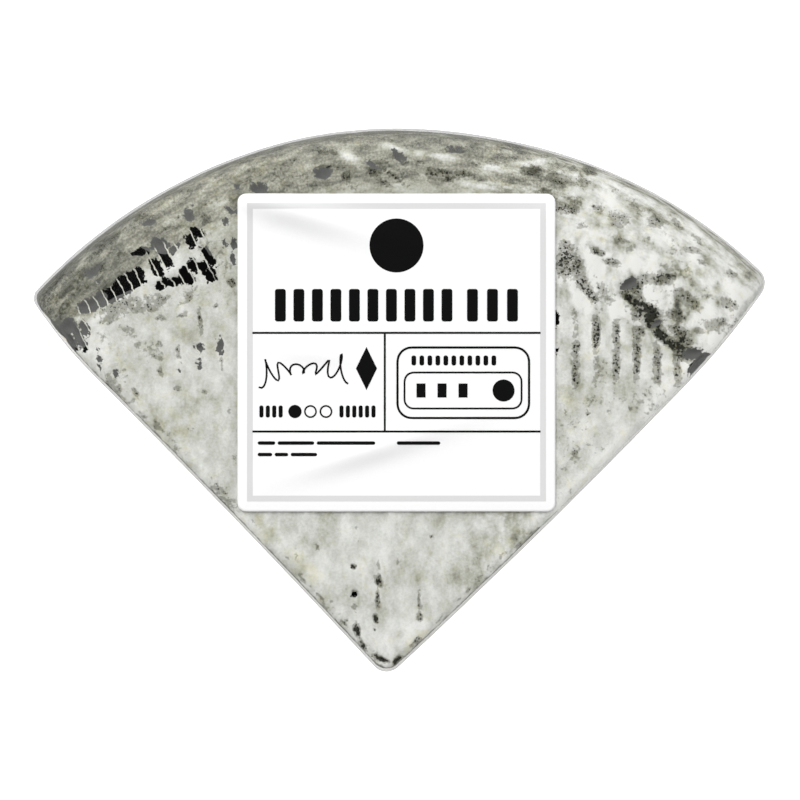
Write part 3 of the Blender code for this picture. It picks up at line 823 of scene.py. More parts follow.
def speckle(tree, size_mm, detail, vector, stretch=None, lean=0.0):
    """Noise about zero whose features are size_mm across, optionally turned by lean and then stretched."""
    if stretch:
        inputs = {"Vector": vector, "Scale": stretch, "Rotation": (0.0, 0.0, math.radians(lean))}
        vector = add(tree, "ShaderNodeMapping", inputs).outputs[0]
    inputs = {"Vector": vector, "Scale": 1000.0 / size_mm, "Detail": detail, "Roughness": 0.6}
    found = add(tree, "ShaderNodeTexNoise", inputs, noise_dimensions="3D")
    return calc(tree, "SUBTRACT", found.outputs["Fac"], 0.5)


def new_material(name):
    """An empty material with its Principled shader and its tree."""
    material = bpy.data.materials.new(name)
    material.use_nodes = True
    return material, material.node_tree, material.node_tree.nodes["Principled BSDF"]


def paint(code):
    """A colour from its six-figure web code, as the linear red, green, blue and alpha of a shader."""
    parts = [int(code[start:start + 2], 16) / 255.0 for start in (0, 2, 4)]
    linear = [part / 12.92 if part <= 0.04045 else ((part + 0.055) / 1.055) ** 2.4 for part in parts]
    return (*linear, 1.0)


def colour_ramp(tree, share, stops):
    """A colour read from a ramp of (position, paint) stops."""
    made = add(tree, "ShaderNodeValToRGB", {"Fac": share})
    ramp = made.color_ramp
    while len(ramp.elements) < len(stops):
        ramp.elements.new(0.5)
    for element, (position, code) in zip(ramp.elements, stops):
        element.position = position
        element.color = paint(code)
    return made.outputs["Color"]


# %% [markdown]
# Soot, veins and paper fibres all break up in the same way: where a slow field is strong, fine grains join
# into a patch, and where it is weak they scatter. That is one node group, used by more than one material
# with its own sizes: the field plus fine noise, cut off at a threshold.

# %% The grains group
def make_grains_group():
    """Mask = eased step of (Amount + Grit x noise) about a half, where the noise is read at Scale."""
    group = bpy.data.node_groups.new("grains", "ShaderNodeTree")
    wanted = (("Vector", "NodeSocketVector"), ("Amount", "NodeSocketFloat"), ("Scale", "NodeSocketFloat"),
              ("Grit", "NodeSocketFloat"), ("Softness", "NodeSocketFloat"))
    for name, kind in wanted:
        group.interface.new_socket(name, in_out="INPUT", socket_type=kind)
    group.interface.new_socket("Mask", in_out="OUTPUT", socket_type="NodeSocketFloat")
    given = group.nodes.new("NodeGroupInput").outputs
    noise_in = {"Vector": given["Vector"], "Scale": given["Scale"], "Detail": 2.0, "Roughness": 0.55}
    found = add(group, "ShaderNodeTexNoise", noise_in, noise_dimensions="3D").outputs["Fac"]
    gritty = calc(group, "MULTIPLY", calc(group, "SUBTRACT", found, 0.5), given["Grit"])
    total = calc(group, "ADD", gritty, given["Amount"])
    low = calc(group, "SUBTRACT", 0.5, given["Softness"])
    high = calc(group, "ADD", 0.5, given["Softness"])
    add(group, "NodeGroupOutput", {"Mask": step(group, total, low, high)})
    return group


grains_group = make_grains_group()


def grains(tree, vector, amount, size_mm, grit, softness):
    """The grains group placed in a material: its mask."""
    inputs = {"Vector": vector, "Amount": amount, "Grit": grit, "Softness": softness}
    inputs["Scale"] = 1000.0 / size_mm
    return add(tree, "ShaderNodeGroup", inputs, node_tree=grains_group).outputs["Mask"]


# %% [markdown]
# ## The rind and the paste
#
# The rind's colour is built as it grew. Grey-green mould comes first and white bloom covers it where it is
# thick, both read from one ramp of paints. Soot then darkens the bloom: a grey haze with ragged edges,
# denser patches in it, deep ash where all is covered, and black pepper. Soot multiplies the bloom's colour,
# so the bloom still shows.

# %% Paints of the rind
RIND_STOPS = ((0.0, "65665e"), (0.2, "87877c"), (0.38, "a5a598"), (0.52, "bbbcb2"), (0.66, "cacbc5"),
              (0.82, "d9dad5"), (1.0, "e6e6e2"))
WARM_CREAM = "efebcf"
SOOT_GREY = "8d8c81"
DEEP_SOOT = "1d1e18"
PEPPER = "12130f"
SPECK_SPACING = 0.38
SPECK_LARGEST = 0.35
ASH_BLACK = "040504"
# Painted reflection: the grey that the film over bare ash would mirror, painted into the rind.
PAINTED_FILM_REFLECTION = "5f605e"
RUNG_PALE = "cfd0c5"
ASH_LINE = "5b5c59"
RIM_MAP_FROM = 0.43


def dots(tree, vector, amount):
    """Black specks: one round spot in each cell of a Voronoi pattern, larger where the amount is high."""
    warp = add(tree, "ShaderNodeTexNoise", {"Vector": vector, "Scale": 1000.0 / 0.6, "Detail": 2.0})
    shift = {0: warp.outputs["Color"], 1: (0.0003, 0.0003, 0.0003), 2: vector}
    warped = add(tree, "ShaderNodeVectorMath", shift, operation="MULTIPLY_ADD").outputs[0]
    cell = add(tree, "ShaderNodeTexVoronoi", {"Vector": warped, "Scale": 1000.0 / SPECK_SPACING})
    chance = add(tree, "ShaderNodeSeparateXYZ", {0: cell.outputs["Color"]}).outputs["X"]
    room = calc(tree, "MULTIPLY_ADD", chance, 0.54, calc(tree, "MULTIPLY_ADD", amount, 0.90, -0.77))
    room = calc(tree, "MINIMUM", room, SPECK_LARGEST)
    return step(tree, calc(tree, "SUBTRACT", room, cell.outputs["Distance"]), -0.05, 0.03)


# %% Bloom
def rind_ground(tree, here):
    """Where the rind's patterns are read, here or on the rim's own map, and the clouds on both."""
    inputs = {"X": field(tree, "rim_along"), "Y": field(tree, "rim_depth")}
    rim = add(tree, "ShaderNodeCombineXYZ", inputs).outputs[0]
    rim = add(tree, "ShaderNodeVectorMath", {0: rim, 3: 0.001}, operation="SCALE").outputs[0]
    flow = field(tree, "flow")
    by_rim = calc(tree, "GREATER_THAN", flow, RIM_MAP_FROM)
    ground = add(tree, "ShaderNodeMix", {0: by_rim, 4: here, 5: rim}, data_type="VECTOR").outputs[1]
    spread = speckle(tree, 2.3, 2.5, here, (1.0, 0.7, 1.0), 28.0)
    drawn = speckle(tree, 1.15, 4.5, rim, (0.36, 1.0, 1.0))
    clouds = add(tree, "ShaderNodeMix", {0: flow, 2: spread, 3: drawn}).outputs[0]
    return ground, clouds


def bloom_paint(tree, here, ground, clouds):
    """The bloom's colour and its tone: the pale field, clouds by its contrast and flakes by its grit."""
    by_contrast = calc(tree, "MULTIPLY", clouds, field(tree, "contrast"))
    tone = calc(tree, "MULTIPLY_ADD", by_contrast, 2.9, field(tree, "pale"))
    flakes = calc(tree, "MULTIPLY", speckle(tree, 0.34, 2.5, ground), field(tree, "grit"))
    tone = calc(tree, "MULTIPLY_ADD", flakes, 0.9, tone)
    warm = calc(tree, "MULTIPLY_ADD", speckle(tree, 1.2, 2.0, here), 2.4, field(tree, "warm"))
    warm_share = calc(tree, "MULTIPLY", step(tree, warm, 0.25, 1.1), 0.6)
    bloom = blend(tree, warm_share, colour_ramp(tree, tone, RIND_STOPS), paint(WARM_CREAM), "MULTIPLY")
    return bloom, tone


# %% [markdown]
# The rungs over the long hollow are the rind's own ridges, which reach the film, so they stay pale. Between
# them, and in the other hollows, the rind is bare black ash, or painted grey where the film over it would
# mirror the lights: a painted reflection. Under the bloom of a cut edge lies a thin line of ash.

# %% Soot, hollows and the ash line
def sooty_paint(tree, ground, clouds, bloom):
    """Soot on the bloom: haze, deep ash and pepper, and the masks of its patches and its pepper."""
    sooty = calc(tree, "MULTIPLY_ADD", clouds, -0.6, field(tree, "soot"))
    patch = grains(tree, ground, sooty, 0.50, 1.0, 0.08)
    dense = grains(tree, ground, calc(tree, "SUBTRACT", sooty, 0.32), 0.42, 1.6, 0.12)
    haze = calc(tree, "ADD", calc(tree, "MULTIPLY", patch, 0.55), calc(tree, "MULTIPLY", dense, 0.32))
    rind = blend(tree, haze, bloom, paint(SOOT_GREY), "MULTIPLY")
    deep = grains(tree, ground, calc(tree, "SUBTRACT", sooty, 0.50), 0.5, 2.3, 0.12)
    rind = blend(tree, calc(tree, "MULTIPLY", deep, 0.9), rind, paint(DEEP_SOOT))
    pepper = dots(tree, ground, sooty)
    return blend(tree, calc(tree, "MULTIPLY", pepper, 0.9), rind, paint(PEPPER)), patch, pepper


def hollow_paint(tree, here, ground, rind):
    """The rungs, then the bare ash of the hollows, black or with a painted grey reflection of the film."""
    rung = calc(tree, "MULTIPLY_ADD", speckle(tree, 0.9, 3.0, here), 0.5, field(tree, "rung"))
    from_rung = calc(tree, "ABSOLUTE", calc(tree, "SUBTRACT", calc(tree, "FRACT", rung), 0.5))
    on_rung = calc(tree, "MULTIPLY", step(tree, from_rung, 0.415, 0.46), field(tree, "rungs"))
    near_hollow = step(tree, field(tree, "hollow"), -0.15, 0.1)
    rind = blend(tree, calc(tree, "MULTIPLY", on_rung, near_hollow), rind, paint(RUNG_PALE))
    ragged = calc(tree, "MULTIPLY_ADD", speckle(tree, 0.6, 3.0, ground), 1.3, field(tree, "hollow"))
    bare = calc(tree, "MULTIPLY", step(tree, ragged, -0.03, 0.05), calc(tree, "SUBTRACT", 1.0, on_rung))
    # Painted reflection: grey painted on the bare ash where the film over it would mirror the lights.
    painted_reflection = calc(tree, "MULTIPLY_ADD", speckle(tree, 2.5, 1.0, here), 1.2, field(tree, "grey"))
    ash = blend(tree, step(tree, painted_reflection, -0.03, 0.07), paint(ASH_BLACK), paint(PAINTED_FILM_REFLECTION))
    return blend(tree, bare, rind, ash)


def ash_line_paint(tree, here, rind):
    """The thin line of ash between the bloom and the paste."""
    at_edge = calc(tree, "MULTIPLY_ADD", speckle(tree, 0.8, 3.0, here), 0.8, field(tree, "skin"))
    ash_line = calc(tree, "MULTIPLY", step(tree, at_edge, 0.5, 0.85), step(tree, at_edge, 2.4, 1.7))
    return blend(tree, calc(tree, "MULTIPLY", ash_line, field(tree, "ash_edge")), rind, paint(ASH_LINE))


# %% [markdown]
# The cut faces are ivory paste, a little darker under the rind, with blue-grey mould in their caves. Where
# rind ends and paste begins is read from the skin field, roughened a little.

# %% The paste, and the cheese's material
PASTE_STOPS = ((0.0, "ddd3b0"), (0.5, "e9e1c6"), (1.0, "f2ecd8"))
UNDER_RIND = "c4c0aa"
BLUE_STOPS = ((0.0, "3f4d4c"), (0.5, "6b7a74"), (1.0, "9aa394"))


def paste_paint(tree, here, depth):
    """The paste's colour: ivory, blue mould where the caves are, and duller within a few mm of the rind."""
    paste = colour_ramp(tree, calc(tree, "ADD", speckle(tree, 4.0, 4.0, here), 0.5), PASTE_STOPS)
    caves = calc(tree, "ADD", field(tree, "caves"), 0.12)
    blue_share = calc(tree, "MULTIPLY_ADD", speckle(tree, 1.4, 4.0, here), 0.5, caves)
    blue = grains(tree, here, calc(tree, "MULTIPLY", blue_share, 1.05), 0.6, 1.0, 0.16)
    blue_paint = colour_ramp(tree, calc(tree, "ADD", speckle(tree, 0.8, 3.0, here), 0.5), BLUE_STOPS)
    paste = blend(tree, calc(tree, "MULTIPLY", blue, 0.85), paste, blue_paint)
    under_rind = step(tree, depth, 6.0, 1.2)
    return blend(tree, calc(tree, "MULTIPLY", under_rind, 0.7), paste, paint(UNDER_RIND))


def make_cheese_material():
    """Rind and paste in one material, mixed by the fields kept at the vertices."""
    material, tree, shader = new_material("ash_rind_and_paste")
    here = add(tree, "ShaderNodeTexCoord").outputs["Object"]
    ground, clouds = rind_ground(tree, here)
    bloom, tone = bloom_paint(tree, here, ground, clouds)
    rind, patch, pepper = sooty_paint(tree, ground, clouds, bloom)
    rind = ash_line_paint(tree, here, hollow_paint(tree, here, ground, rind))
    depth = calc(tree, "MULTIPLY_ADD", speckle(tree, 1.0, 4.0, here), 3.0, field(tree, "skin"))
    inside = step(tree, depth, 1.9, 2.5)
    tree.links.new(blend(tree, inside, rind, paste_paint(tree, here, depth)), shader.inputs["Base Color"])
    tree.links.new(calc(tree, "MULTIPLY_ADD", inside, -0.3, 0.8), shader.inputs["Roughness"])
    height = calc(tree, "MULTIPLY_ADD", tone, 0.4, calc(tree, "MULTIPLY", patch, -0.2))
    height = calc(tree, "MULTIPLY_ADD", pepper, -0.2, height)
    bump = add(tree, "ShaderNodeBump", {"Height": height, "Strength": 0.5, "Distance": 0.00012})
    tree.links.new(bump.outputs["Normal"], shader.inputs["Normal"])
    shader.inputs["Specular IOR Level"].default_value = 0.12
    print(material.name, len(tree.nodes), "nodes")
    return material


cheese.data.materials.append(make_cheese_material())
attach(cheese, "root")
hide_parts("cheese_wedge")

# %% [markdown]
# ## The clear film
#
# The film is stretched over the wedge, so it spans the hollows and follows only the large form. It is its
# own closed skin just outside the cheese. Most light passes straight through, and the share that it mirrors
# grows towards its edges: a transparent shader mixed with a glossy one. Its index of refraction isn't used,
# because a closed skin would then act as a block of plastic and mirror light inside. Seen at a slant the
# film is greyer, which draws the dark line round the wedge. Light on its way in isn't dimmed by that, or
# every slope would turn dark.

# %% The film's skin
FILM_INSET = 0.00001
FILM_WAVES = 0.00005
FILM_LOWEST = 0.00002
FILM_PLACES, FILM_CELL = 480, 0.0006


def make_film():
    """The film: the skin grid at the solid's surface, with tension waves of a few hundredths of a mm."""
    grid = skin_grid(FILM_PLACES, FILM_CELL)
    waves = FILM_WAVES * cloud((grid[..., 0], grid[..., 1], grid[..., 2]), 0.006, 2, 121)
    moved = grid + outward(grid) * (waves - FILM_INSET)[..., None]
    moved[..., 2] = np.maximum(moved[..., 2], FILM_LOWEST)
    return skin_mesh("clear_film", moved)


film = make_film()


# %% The film's material
CLEAR_TINT = "fdfdfd"
FILM_TINTS = ((0.0, CLEAR_TINT), (0.42, "f6f6f6"), (0.72, "d4d4d4"), (0.90, "bcbcbc"), (0.965, "c6c6c6"),
              (1.0, "cccccc"))
MIRROR_AT_EDGE = 0.18
MIRROR_FLAT = 0.006


def make_film_material():
    """Clear film: a mirror whose share grows at grazing angles, over a clear layer with a dark edge."""
    material, tree, shader = new_material("clear_film")
    here = add(tree, "ShaderNodeTexCoord").outputs["Object"]
    ripple = speckle(tree, 4.0, 2.0, here)
    bump = add(tree, "ShaderNodeBump", {"Height": ripple, "Strength": 0.35, "Distance": 0.0004})
    shader.inputs["Base Color"].default_value = (0.9, 0.9, 0.9, 1.0)
    shader.inputs["Metallic"].default_value = 1.0
    shader.inputs["Roughness"].default_value = 0.07
    tree.links.new(bump.outputs["Normal"], shader.inputs["Normal"])
    facing = add(tree, "ShaderNodeLayerWeight", {"Blend": 0.5}).outputs["Facing"]
    to_light = add(tree, "ShaderNodeLightPath").outputs["Is Shadow Ray"]
    tint = blend(tree, to_light, colour_ramp(tree, facing, FILM_TINTS), paint(CLEAR_TINT))
    clear = add(tree, "ShaderNodeBsdfTransparent", {"Color": tint})
    share = calc(tree, "MULTIPLY_ADD", calc(tree, "POWER", facing, 4.0), MIRROR_AT_EDGE, MIRROR_FLAT)
    mix = add(tree, "ShaderNodeMixShader", {0: share, 1: clear.outputs[0], 2: shader.outputs[0]})
    tree.links.new(mix.outputs[0], tree.nodes["Material Output"].inputs["Surface"])
    return material


film.data.materials.append(make_film_material())
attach(film, "root")

# %% [markdown]
# ## The paper label
#
# The label is a square of white paper, a little waved because it was put on by hand over an uneven top. It
# is a sheet computed on a grid, made as thick as paper by a Solidify modifier. Its print is ink on its own
# thin plates, so its edges stay sharp at any distance: each line, ring and bar is a profile carried along a
# path.

# %% The label's height and sheet
LABEL_SIDE = 0.0405
LABEL_CENTRE = (-0.00045, 0.00605)
LABEL_CORNER = 0.0011
PAPER_THICKNESS = 0.00008
PAPER_LIFT = 0.00006
LABEL_WAVES = ((274, 204, 98, 17, 17, 2.1), (312, 352, 40, 12, 8, 0.5), (372, 448, 80, 14, -17, 1.4))
WAVE_HEIGHT = 0.00072
EDGE_DROOP = 0.00005
DROOP_WIDTH = 0.0012
LABEL_STEPS = 150


def label_height(x, y):
    """The paper's upper side: the top of the wedge, lifted, plus a few long soft waves."""
    across, down = map_place(x, y, WEDGE_HEIGHT)
    waves = WAVE_HEIGHT * soft_marks(across, down, LABEL_WAVES)
    from_edge = LABEL_SIDE / 2.0 - np.maximum(np.abs(x - LABEL_CENTRE[0]), np.abs(y - LABEL_CENTRE[1]))
    droop = EDGE_DROOP * smooth(DROOP_WIDTH, 0.0, from_edge)
    return top_height(x, y) + PAPER_LIFT + PAPER_THICKNESS + waves - droop


def make_label():
    """A square grid whose corners are drawn in to arcs, laid at the label's height."""
    half = LABEL_SIDE / 2.0
    along = half * np.linspace(-1.0, 1.0, LABEL_STEPS)
    x, y = np.meshgrid(along, along)
    straight = half - LABEL_CORNER
    over_x, over_y = np.maximum(np.abs(x) - straight, 0.0), np.maximum(np.abs(y) - straight, 0.0)
    both = np.hypot(over_x, over_y)
    pull = np.where((over_x > 0.0) & (over_y > 0.0), np.maximum(over_x, over_y) / np.maximum(both, 1e-9), 1.0)
    x = np.sign(x) * (np.minimum(np.abs(x), straight) + over_x * pull) + LABEL_CENTRE[0]
    y = np.sign(y) * (np.minimum(np.abs(y), straight) + over_y * pull) + LABEL_CENTRE[1]
    places = np.stack((x, y, label_height(x, y)), axis=-1).reshape(-1, 3)
    here = np.arange(LABEL_STEPS ** 2).reshape(LABEL_STEPS, LABEL_STEPS)
    made = new_object("label", places, quads_between(here, closed=False))
    made.data.shade_smooth()
    thick = made.modifiers.new("paper", "SOLIDIFY")
    thick.thickness = PAPER_THICKNESS
    thick.offset = -1.0
    return made


label = make_label()


# %% The paper's material
def make_paper_material():
    """Smooth white paper: nearly even, with faint fibres in its colour and its surface."""
    material, tree, shader = new_material("label_paper")
    here = add(tree, "ShaderNodeTexCoord").outputs["Object"]
    fibres = grains(tree, here, 0.42, 0.3, 0.9, 0.3)
    colour = blend(tree, calc(tree, "MULTIPLY", fibres, 0.35), paint("f4f4f4"), paint("efefef"))
    tree.links.new(colour, shader.inputs["Base Color"])
    bump = add(tree, "ShaderNodeBump", {"Height": fibres, "Strength": 0.15, "Distance": 0.00003})
    tree.links.new(bump.outputs["Normal"], shader.inputs["Normal"])
    shader.inputs["Roughness"].default_value = 0.45
    return material


label.data.materials.append(make_paper_material())
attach(label, "root")
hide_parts("paper_label")

# %% [markdown]
# ## The print
#
# The print is plain: a black disc, bars where words would be, two rules and a divider, a row of one dot and
# two rings, and a box of bars. A stroke is a ribbon along a path: each point of the path is moved half the
# width to either side of its heading, and rounded at its ends.

# %% Ribbons of ink
INK_LIFT = 0.000012
INK_THICKNESS = 0.00001
INK_STEP = 0.0003
LEAST_STEPS, LEAST_ROUND_STEPS = 2, 36


def resample(points, closed):
    """Points of a path at even short steps, so that the ink follows the paper and small rings stay round."""
    path = np.array(points, float)
    if closed:
        path = np.concatenate((path, path[:1]))
    lengths = np.concatenate(([0.0], np.cumsum(np.hypot(*np.diff(path, axis=0).T))))
    count = max(LEAST_ROUND_STEPS if closed else LEAST_STEPS, math.ceil(lengths[-1] / INK_STEP) + 1)
    wanted = np.linspace(0.0, lengths[-1], count)
    even = np.stack([np.interp(wanted, lengths, path[:, axis]) for axis in (0, 1)], axis=-1)
    return even[:-1] if closed else even


def strip(left, right, closed):
    """Quads between two rows of points."""
    count = len(left)
    here = np.arange(count)
    after = (here + 1) % count if closed else here[1:]
    here = here if closed else here[:-1]
    quads = np.stack((here, here + count, after + count, after), axis=-1)
    return np.concatenate((left, right)), quads.tolist()


def stroke(points, width, closed=False, round_ends=False):
    """A ribbon of this width along a path, with its ends narrowed to half circles if asked."""
    path = resample(points, closed)
    if closed:
        heading = np.roll(path, -1, axis=0) - np.roll(path, 1, axis=0)
    else:
        heading = np.gradient(path, axis=0)
    heading = heading / np.linalg.norm(heading, axis=1, keepdims=True)
    aside = np.stack((-heading[:, 1], heading[:, 0]), axis=-1) * width / 2.0
    if round_ends:
        turn = np.linspace(0.0, math.pi / 2.0, 7)[:-1]
        starts = path[0] - heading[0] * width / 2.0 * np.cos(turn)[:, None]
        ends = path[-1] + heading[-1] * width / 2.0 * np.cos(turn)[::-1, None]
        start_aside, end_aside = aside[0] * np.sin(turn)[:, None], aside[-1] * np.sin(turn)[::-1, None]
        path = np.concatenate((starts, path, ends))
        aside = np.concatenate((start_aside, aside, end_aside))
    return strip(path + aside, path - aside, closed)


def rounded_box(left, top, right, bottom, corner):
    """The closed outline of a box on the map, its corners as arcs."""
    points = []
    for turn, (across, down) in enumerate(((right, top), (left, top), (left, bottom), (right, bottom))):
        inwards = (-1.0 if across == right else 1.0, 1.0 if down == top else -1.0)
        for part in np.linspace(0.0, 1.0, 7):
            angle = (turn + part) * math.pi / 2.0
            points.append((across + inwards[0] * corner + corner * math.cos(angle),
                           down + inwards[1] * corner - corner * math.sin(angle)))
    return points


def circle(across, down, radius, count=40):
    """The closed outline of a circle on the map."""
    angles = np.linspace(0.0, 2.0 * math.pi, count, endpoint=False)
    return [(across + radius * math.cos(angle), down - radius * math.sin(angle)) for angle in angles]


def on_label(points):
    """Map points as places on the label, x and y."""
    return [on_top_place(across, down) for across, down in points]


PIXEL = 1.0 / (FOCUS / (CAMERA_HEIGHT - WEDGE_HEIGHT))


def line(start, end, width, round_ends=False):
    """A straight stroke between two map points, its width in map pixels."""
    return stroke(on_label((start, end)), width * PIXEL, round_ends=round_ends)


def outline_of(points, width):
    """A closed stroke along map points, its width in map pixels."""
    return stroke(on_label(points), width * PIXEL, closed=True)


def filled(points, rings):
    """A full shape: its outline drawn in towards its middle in even rings, each joined to the next."""
    edge = np.array(on_label(points))
    middle = edge.mean(axis=0)
    shares = np.linspace(1.0, 0.0, rings + 1)[:-1]
    flat = np.concatenate([middle + (edge - middle) * share for share in shares] + [middle[None]])
    count = len(edge)
    here = np.arange(rings * count).reshape(rings, count)
    return flat, quads_between(here).tolist() + fan_round(here[-1], rings * count).tolist()


def disc(across, down, radius):
    """A full disc."""
    return filled(circle(across, down, radius, 48), max(1, round(radius / 6.0)))


def block(left, top, right, bottom):
    """A full block with slightly rounded corners."""
    return filled(rounded_box(left, top, right, bottom, min(2.4, 0.45 * (right - left))), 2)


def blocks(starts, width, top, bottom):
    """A row of blocks of one size: the weight and rhythm of a word, without letters."""
    return [block(start, top, start + width, bottom) for start in starts]


def frame_ring(box, width):
    """A square frame with mitred corners: rings of even steps, from the outer square to the inner one."""
    rings = []
    steps = np.linspace(0.0, 4.0, 4 * 140, endpoint=False)
    for grow in np.linspace(width / 2.0, -width / 2.0, 5):
        left, top, right, bottom = box[0] - grow, box[1] - grow, box[2] + grow, box[3] + grow
        corners = np.array(((right, top), (left, top), (left, bottom), (right, bottom), (right, top)))
        sides = [np.interp(steps, np.arange(5), corners[:, axis]) for axis in (0, 1)]
        rings.append(np.array(on_label(list(zip(*sides)))))
    here = np.arange(len(rings) * len(steps)).reshape(len(rings), len(steps))
    return np.concatenate(rings), turned_over(quads_between(here)).tolist()


# %% [markdown]
# The rules, frame and dots lie where the real ones do. Where the real label has words, this one has rows of
# plain blocks of the same weight and rhythm, a disc and a lozenge take the places of its signs, and a box
# holds a gauge.

# %% Black print and grey frame
FRAME_BOX = (249.5, 205.5, 542.5, 498.0)
FRAME_WIDTH = 5.8
RULE_WIDTH = 2.0
UPPER_RULE, LOWER_RULE = 332.4, 431.0
RULE_ENDS = (252.0, 540.0)
DIVIDER = 384.3
SMALL_PRINT = ((258, 274, 442.5), (278, 313, 442.5), (317, 374, 442.5), (258, 271, 454), (275, 287, 454),
               (291, 316, 454), (397, 439, 442.5))


def black_print():
    """All the black shapes of the label as (points, faces) pairs."""
    shapes = [
        line((RULE_ENDS[0], UPPER_RULE), (RULE_ENDS[1], UPPER_RULE), RULE_WIDTH),
        line((RULE_ENDS[0], LOWER_RULE), (RULE_ENDS[1], LOWER_RULE), RULE_WIDTH),
        line((DIVIDER, UPPER_RULE), (DIVIDER, LOWER_RULE), RULE_WIDTH),
        disc(396.0, 245.0, 27.0),
        disc(294.5, 411.0, 6.6),
        outline_of(circle(310.0, 411.0, 5.6), 1.6),
        outline_of(circle(325.5, 411.0, 5.6), 1.6),
        outline_of(rounded_box(397.0, 347.0, 528.5, 417.5, 14.0), 2.2),
        outline_of(rounded_box(404.0, 372.0, 521.0, 408.0, 9.0), 1.8),
        disc(503.0, 390.0, 11.0),
    ]
    # Rows of blocks: the title, the ends of the dotted scale, the head of the box and the small print
    shapes += blocks([274.5 + 18.5 * count for count in range(10)], 10.8, 288.5, 321.0)
    shapes += blocks([466.5 + 20.0 * count for count in range(3)], 10.8, 288.5, 321.0)
    shapes += blocks([259.0 + 6.4 * count for count in range(4)], 4.0, 405.0, 417.0)
    shapes += blocks([339.0 + 6.4 * count for count in range(6)], 4.0, 405.0, 417.0)
    shapes += blocks([411.0 + 8.0 * count for count in range(11)], 4.6, 355.0, 365.0)
    for start, end, down in SMALL_PRINT:
        shapes.append(line((start + 1, down), (end - 1, down), 3.4, round_ends=True))
    # The lozenge, the bars of the gauge, and a pen's wave in place of handwriting
    sides = np.linspace(0.0, 4.0, 32, endpoint=False)
    lozenge_across = np.interp(sides, range(5), (376.5, 366.0, 355.5, 366.0, 376.5))
    lozenge_down = np.interp(sides, range(5), (368.0, 346.5, 368.0, 389.5, 368.0))
    shapes.append(filled(list(zip(lozenge_across, lozenge_down)), 6))
    for start in (413.0, 434.0, 455.0):
        shapes.append(line((start + 3.0, 390.0), (start + 12.0, 390.0), 14.0))
    share = np.linspace(0.0, 1.0, 140)
    swing = 5.0 + 12.0 * (2.0 * share - 1.0) ** 2
    pen_across = 259.0 + 88.0 * share + 3.5 * np.sin(44.0 * share)
    pen_down = 371.0 - 5.0 * share + swing * np.sin(38.0 * share + 1.2)
    shapes.append(stroke(on_label(zip(pen_across, pen_down)), 1.8 * PIXEL, round_ends=True))
    return shapes


def make_ink(name, shapes, code, lift):
    """Ink shapes joined into one mesh and laid on the paper, each a plate a hundredth of a mm thick."""
    points, faces, count = [], [], 0
    for flat, parts in shapes:
        points.append(flat)
        faces += [[corner + count for corner in part] for part in parts]
        count += len(flat)
    flat = np.concatenate(points)
    places = np.column_stack((flat, label_height(flat[:, 0], flat[:, 1]) + lift))
    made = new_object(name, places, faces)
    thick = made.modifiers.new("ink", "SOLIDIFY")
    thick.thickness = INK_THICKNESS
    thick.offset = 1.0
    material, tree, shader = new_material(name)
    here = add(tree, "ShaderNodeTexCoord").outputs["Object"]
    thin = grains(tree, here, 0.3, 0.25, 0.9, 0.25)
    tree.links.new(blend(tree, calc(tree, "MULTIPLY", thin, 0.25), paint(code[0]), paint(code[1])),
                   shader.inputs["Base Color"])
    shader.inputs["Roughness"].default_value = 0.5
    shader.inputs["Specular IOR Level"].default_value = 0.15
    made.data.materials.append(material)
    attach(made, "root")


make_ink("black_print", black_print(), ("070707", "101010"), 2.0 * INK_LIFT)
make_ink("grey_frame", [frame_ring(FRAME_BOX, FRAME_WIDTH)], ("d4d4d4", "d8d8d8"), INK_LIFT)

# %% [markdown]
# ## Floor, light and camera
#
# The wedge lies on a plain white floor under soft studio light that comes from all round, as in a white
# tent. The tent is open above the camera, so the flat top of the film mirrors a dark patch and stays clear.
# A soft light from the rim's side shows the label's waves, and a weaker one opposite keeps the right cut's
# edge bright.

# %% The floor
def make_floor():
    """A round floor as a fan of rings, flat and just under the wedge."""
    radii = np.linspace(0.0, 3.0, 7)[1:]
    turns = np.linspace(0.0, 2.0 * math.pi, 48, endpoint=False)
    x, y = radii[:, None] * np.cos(turns), radii[:, None] * np.sin(turns)
    grid = np.stack((x, y, np.zeros_like(x)), axis=-1)
    count = len(turns)
    here = np.arange(len(radii) * count).reshape(len(radii), count)
    places = np.concatenate((grid.reshape(-1, 3), np.zeros((1, 3))))
    made = new_object("floor", places, turned_over(quads_between(here)), fan_round(here[0], here.size))
    material, tree, shader = new_material("white_floor")
    here = add(tree, "ShaderNodeTexCoord").outputs["Object"]
    uneven = step(tree, speckle(tree, 40.0, 2.0, here), -0.3, 0.3)
    tree.links.new(blend(tree, uneven, paint("f2f2f2"), paint("f6f6f6")), shader.inputs["Base Color"])
    shader.inputs["Roughness"].default_value = 0.9
    shader.inputs["Emission Color"].default_value = (1.0, 1.0, 1.0, 1.0)
    shader.inputs["Emission Strength"].default_value = 0.85
    made.data.materials.append(material)


make_floor()

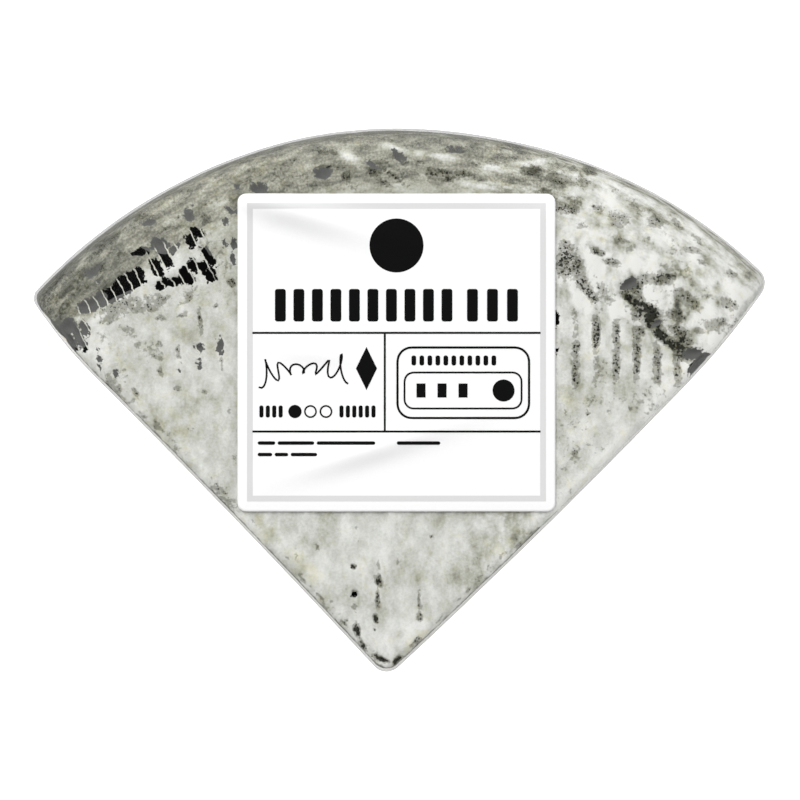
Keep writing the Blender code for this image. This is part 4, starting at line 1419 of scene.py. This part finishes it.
# %% The tent of light and the soft lights
TENT_STRENGTH = 0.50
OPENING_EDGE = (0.955, 0.985)
LIGHT_SIDE = 0.9
LIGHTS = (
    ("key_from_above_left", (-0.30, 0.60, 0.75), 9.6),
    ("fill_from_below_right", (0.60, -0.50, 0.60), 2.0),
)


def make_tent():
    """A world that is even and white, apart from a dark opening straight above."""
    world = bpy.data.worlds.new("tent")
    world.use_nodes = True
    tree = world.node_tree
    direction = add(tree, "ShaderNodeTexCoord").outputs["Generated"]
    upwards = add(tree, "ShaderNodeSeparateXYZ", {0: direction}).outputs["Z"]
    opening = step(tree, upwards, *OPENING_EDGE)
    glow = blend(tree, opening, (1.0, 1.0, 1.0, 1.0), (0.02, 0.02, 0.02, 1.0))
    background = tree.nodes["Background"]
    tree.links.new(glow, background.inputs["Color"])
    background.inputs["Strength"].default_value = TENT_STRENGTH
    bpy.context.scene.world = world


def soft_light(name, place, watts):
    """A square soft light aimed at the wedge, hidden from the camera and from mirrors."""
    data = bpy.data.lights.new(name, "AREA")
    data.shape = "SQUARE"
    data.size = LIGHT_SIDE
    data.energy = watts
    made = bpy.data.objects.new(name, data)
    made.location = place
    made.rotation_mode = "QUATERNION"
    made.rotation_quaternion = (Vector((0.0, 0.0, MIDDLE_HEIGHT)) - Vector(place)).to_track_quat("-Z", "Y")
    made.visible_camera = False
    made.visible_glossy = False
    bpy.context.scene.collection.objects.link(made)


make_tent()
for light_name, light_place, light_watts in LIGHTS:
    soft_light(light_name, light_place, light_watts)

# %% The camera
SENSOR_WIDTH = 36.0
camera_data = bpy.data.cameras.new("camera")
camera_data.sensor_width = SENSOR_WIDTH
camera_data.lens = SENSOR_WIDTH * (CAMERA_HEIGHT - MIDDLE_HEIGHT) / VIEW_WIDTH
camera_data.clip_start = 0.05
camera_data.clip_end = 10.0
camera = bpy.data.objects.new("camera", camera_data)
camera.location = (0.0, 0.0, CAMERA_HEIGHT)
bpy.context.scene.collection.objects.link(camera)
bpy.context.scene.camera = camera
bpy.context.scene.view_settings.view_transform = "Standard"
bpy.context.scene.view_settings.look = "None"
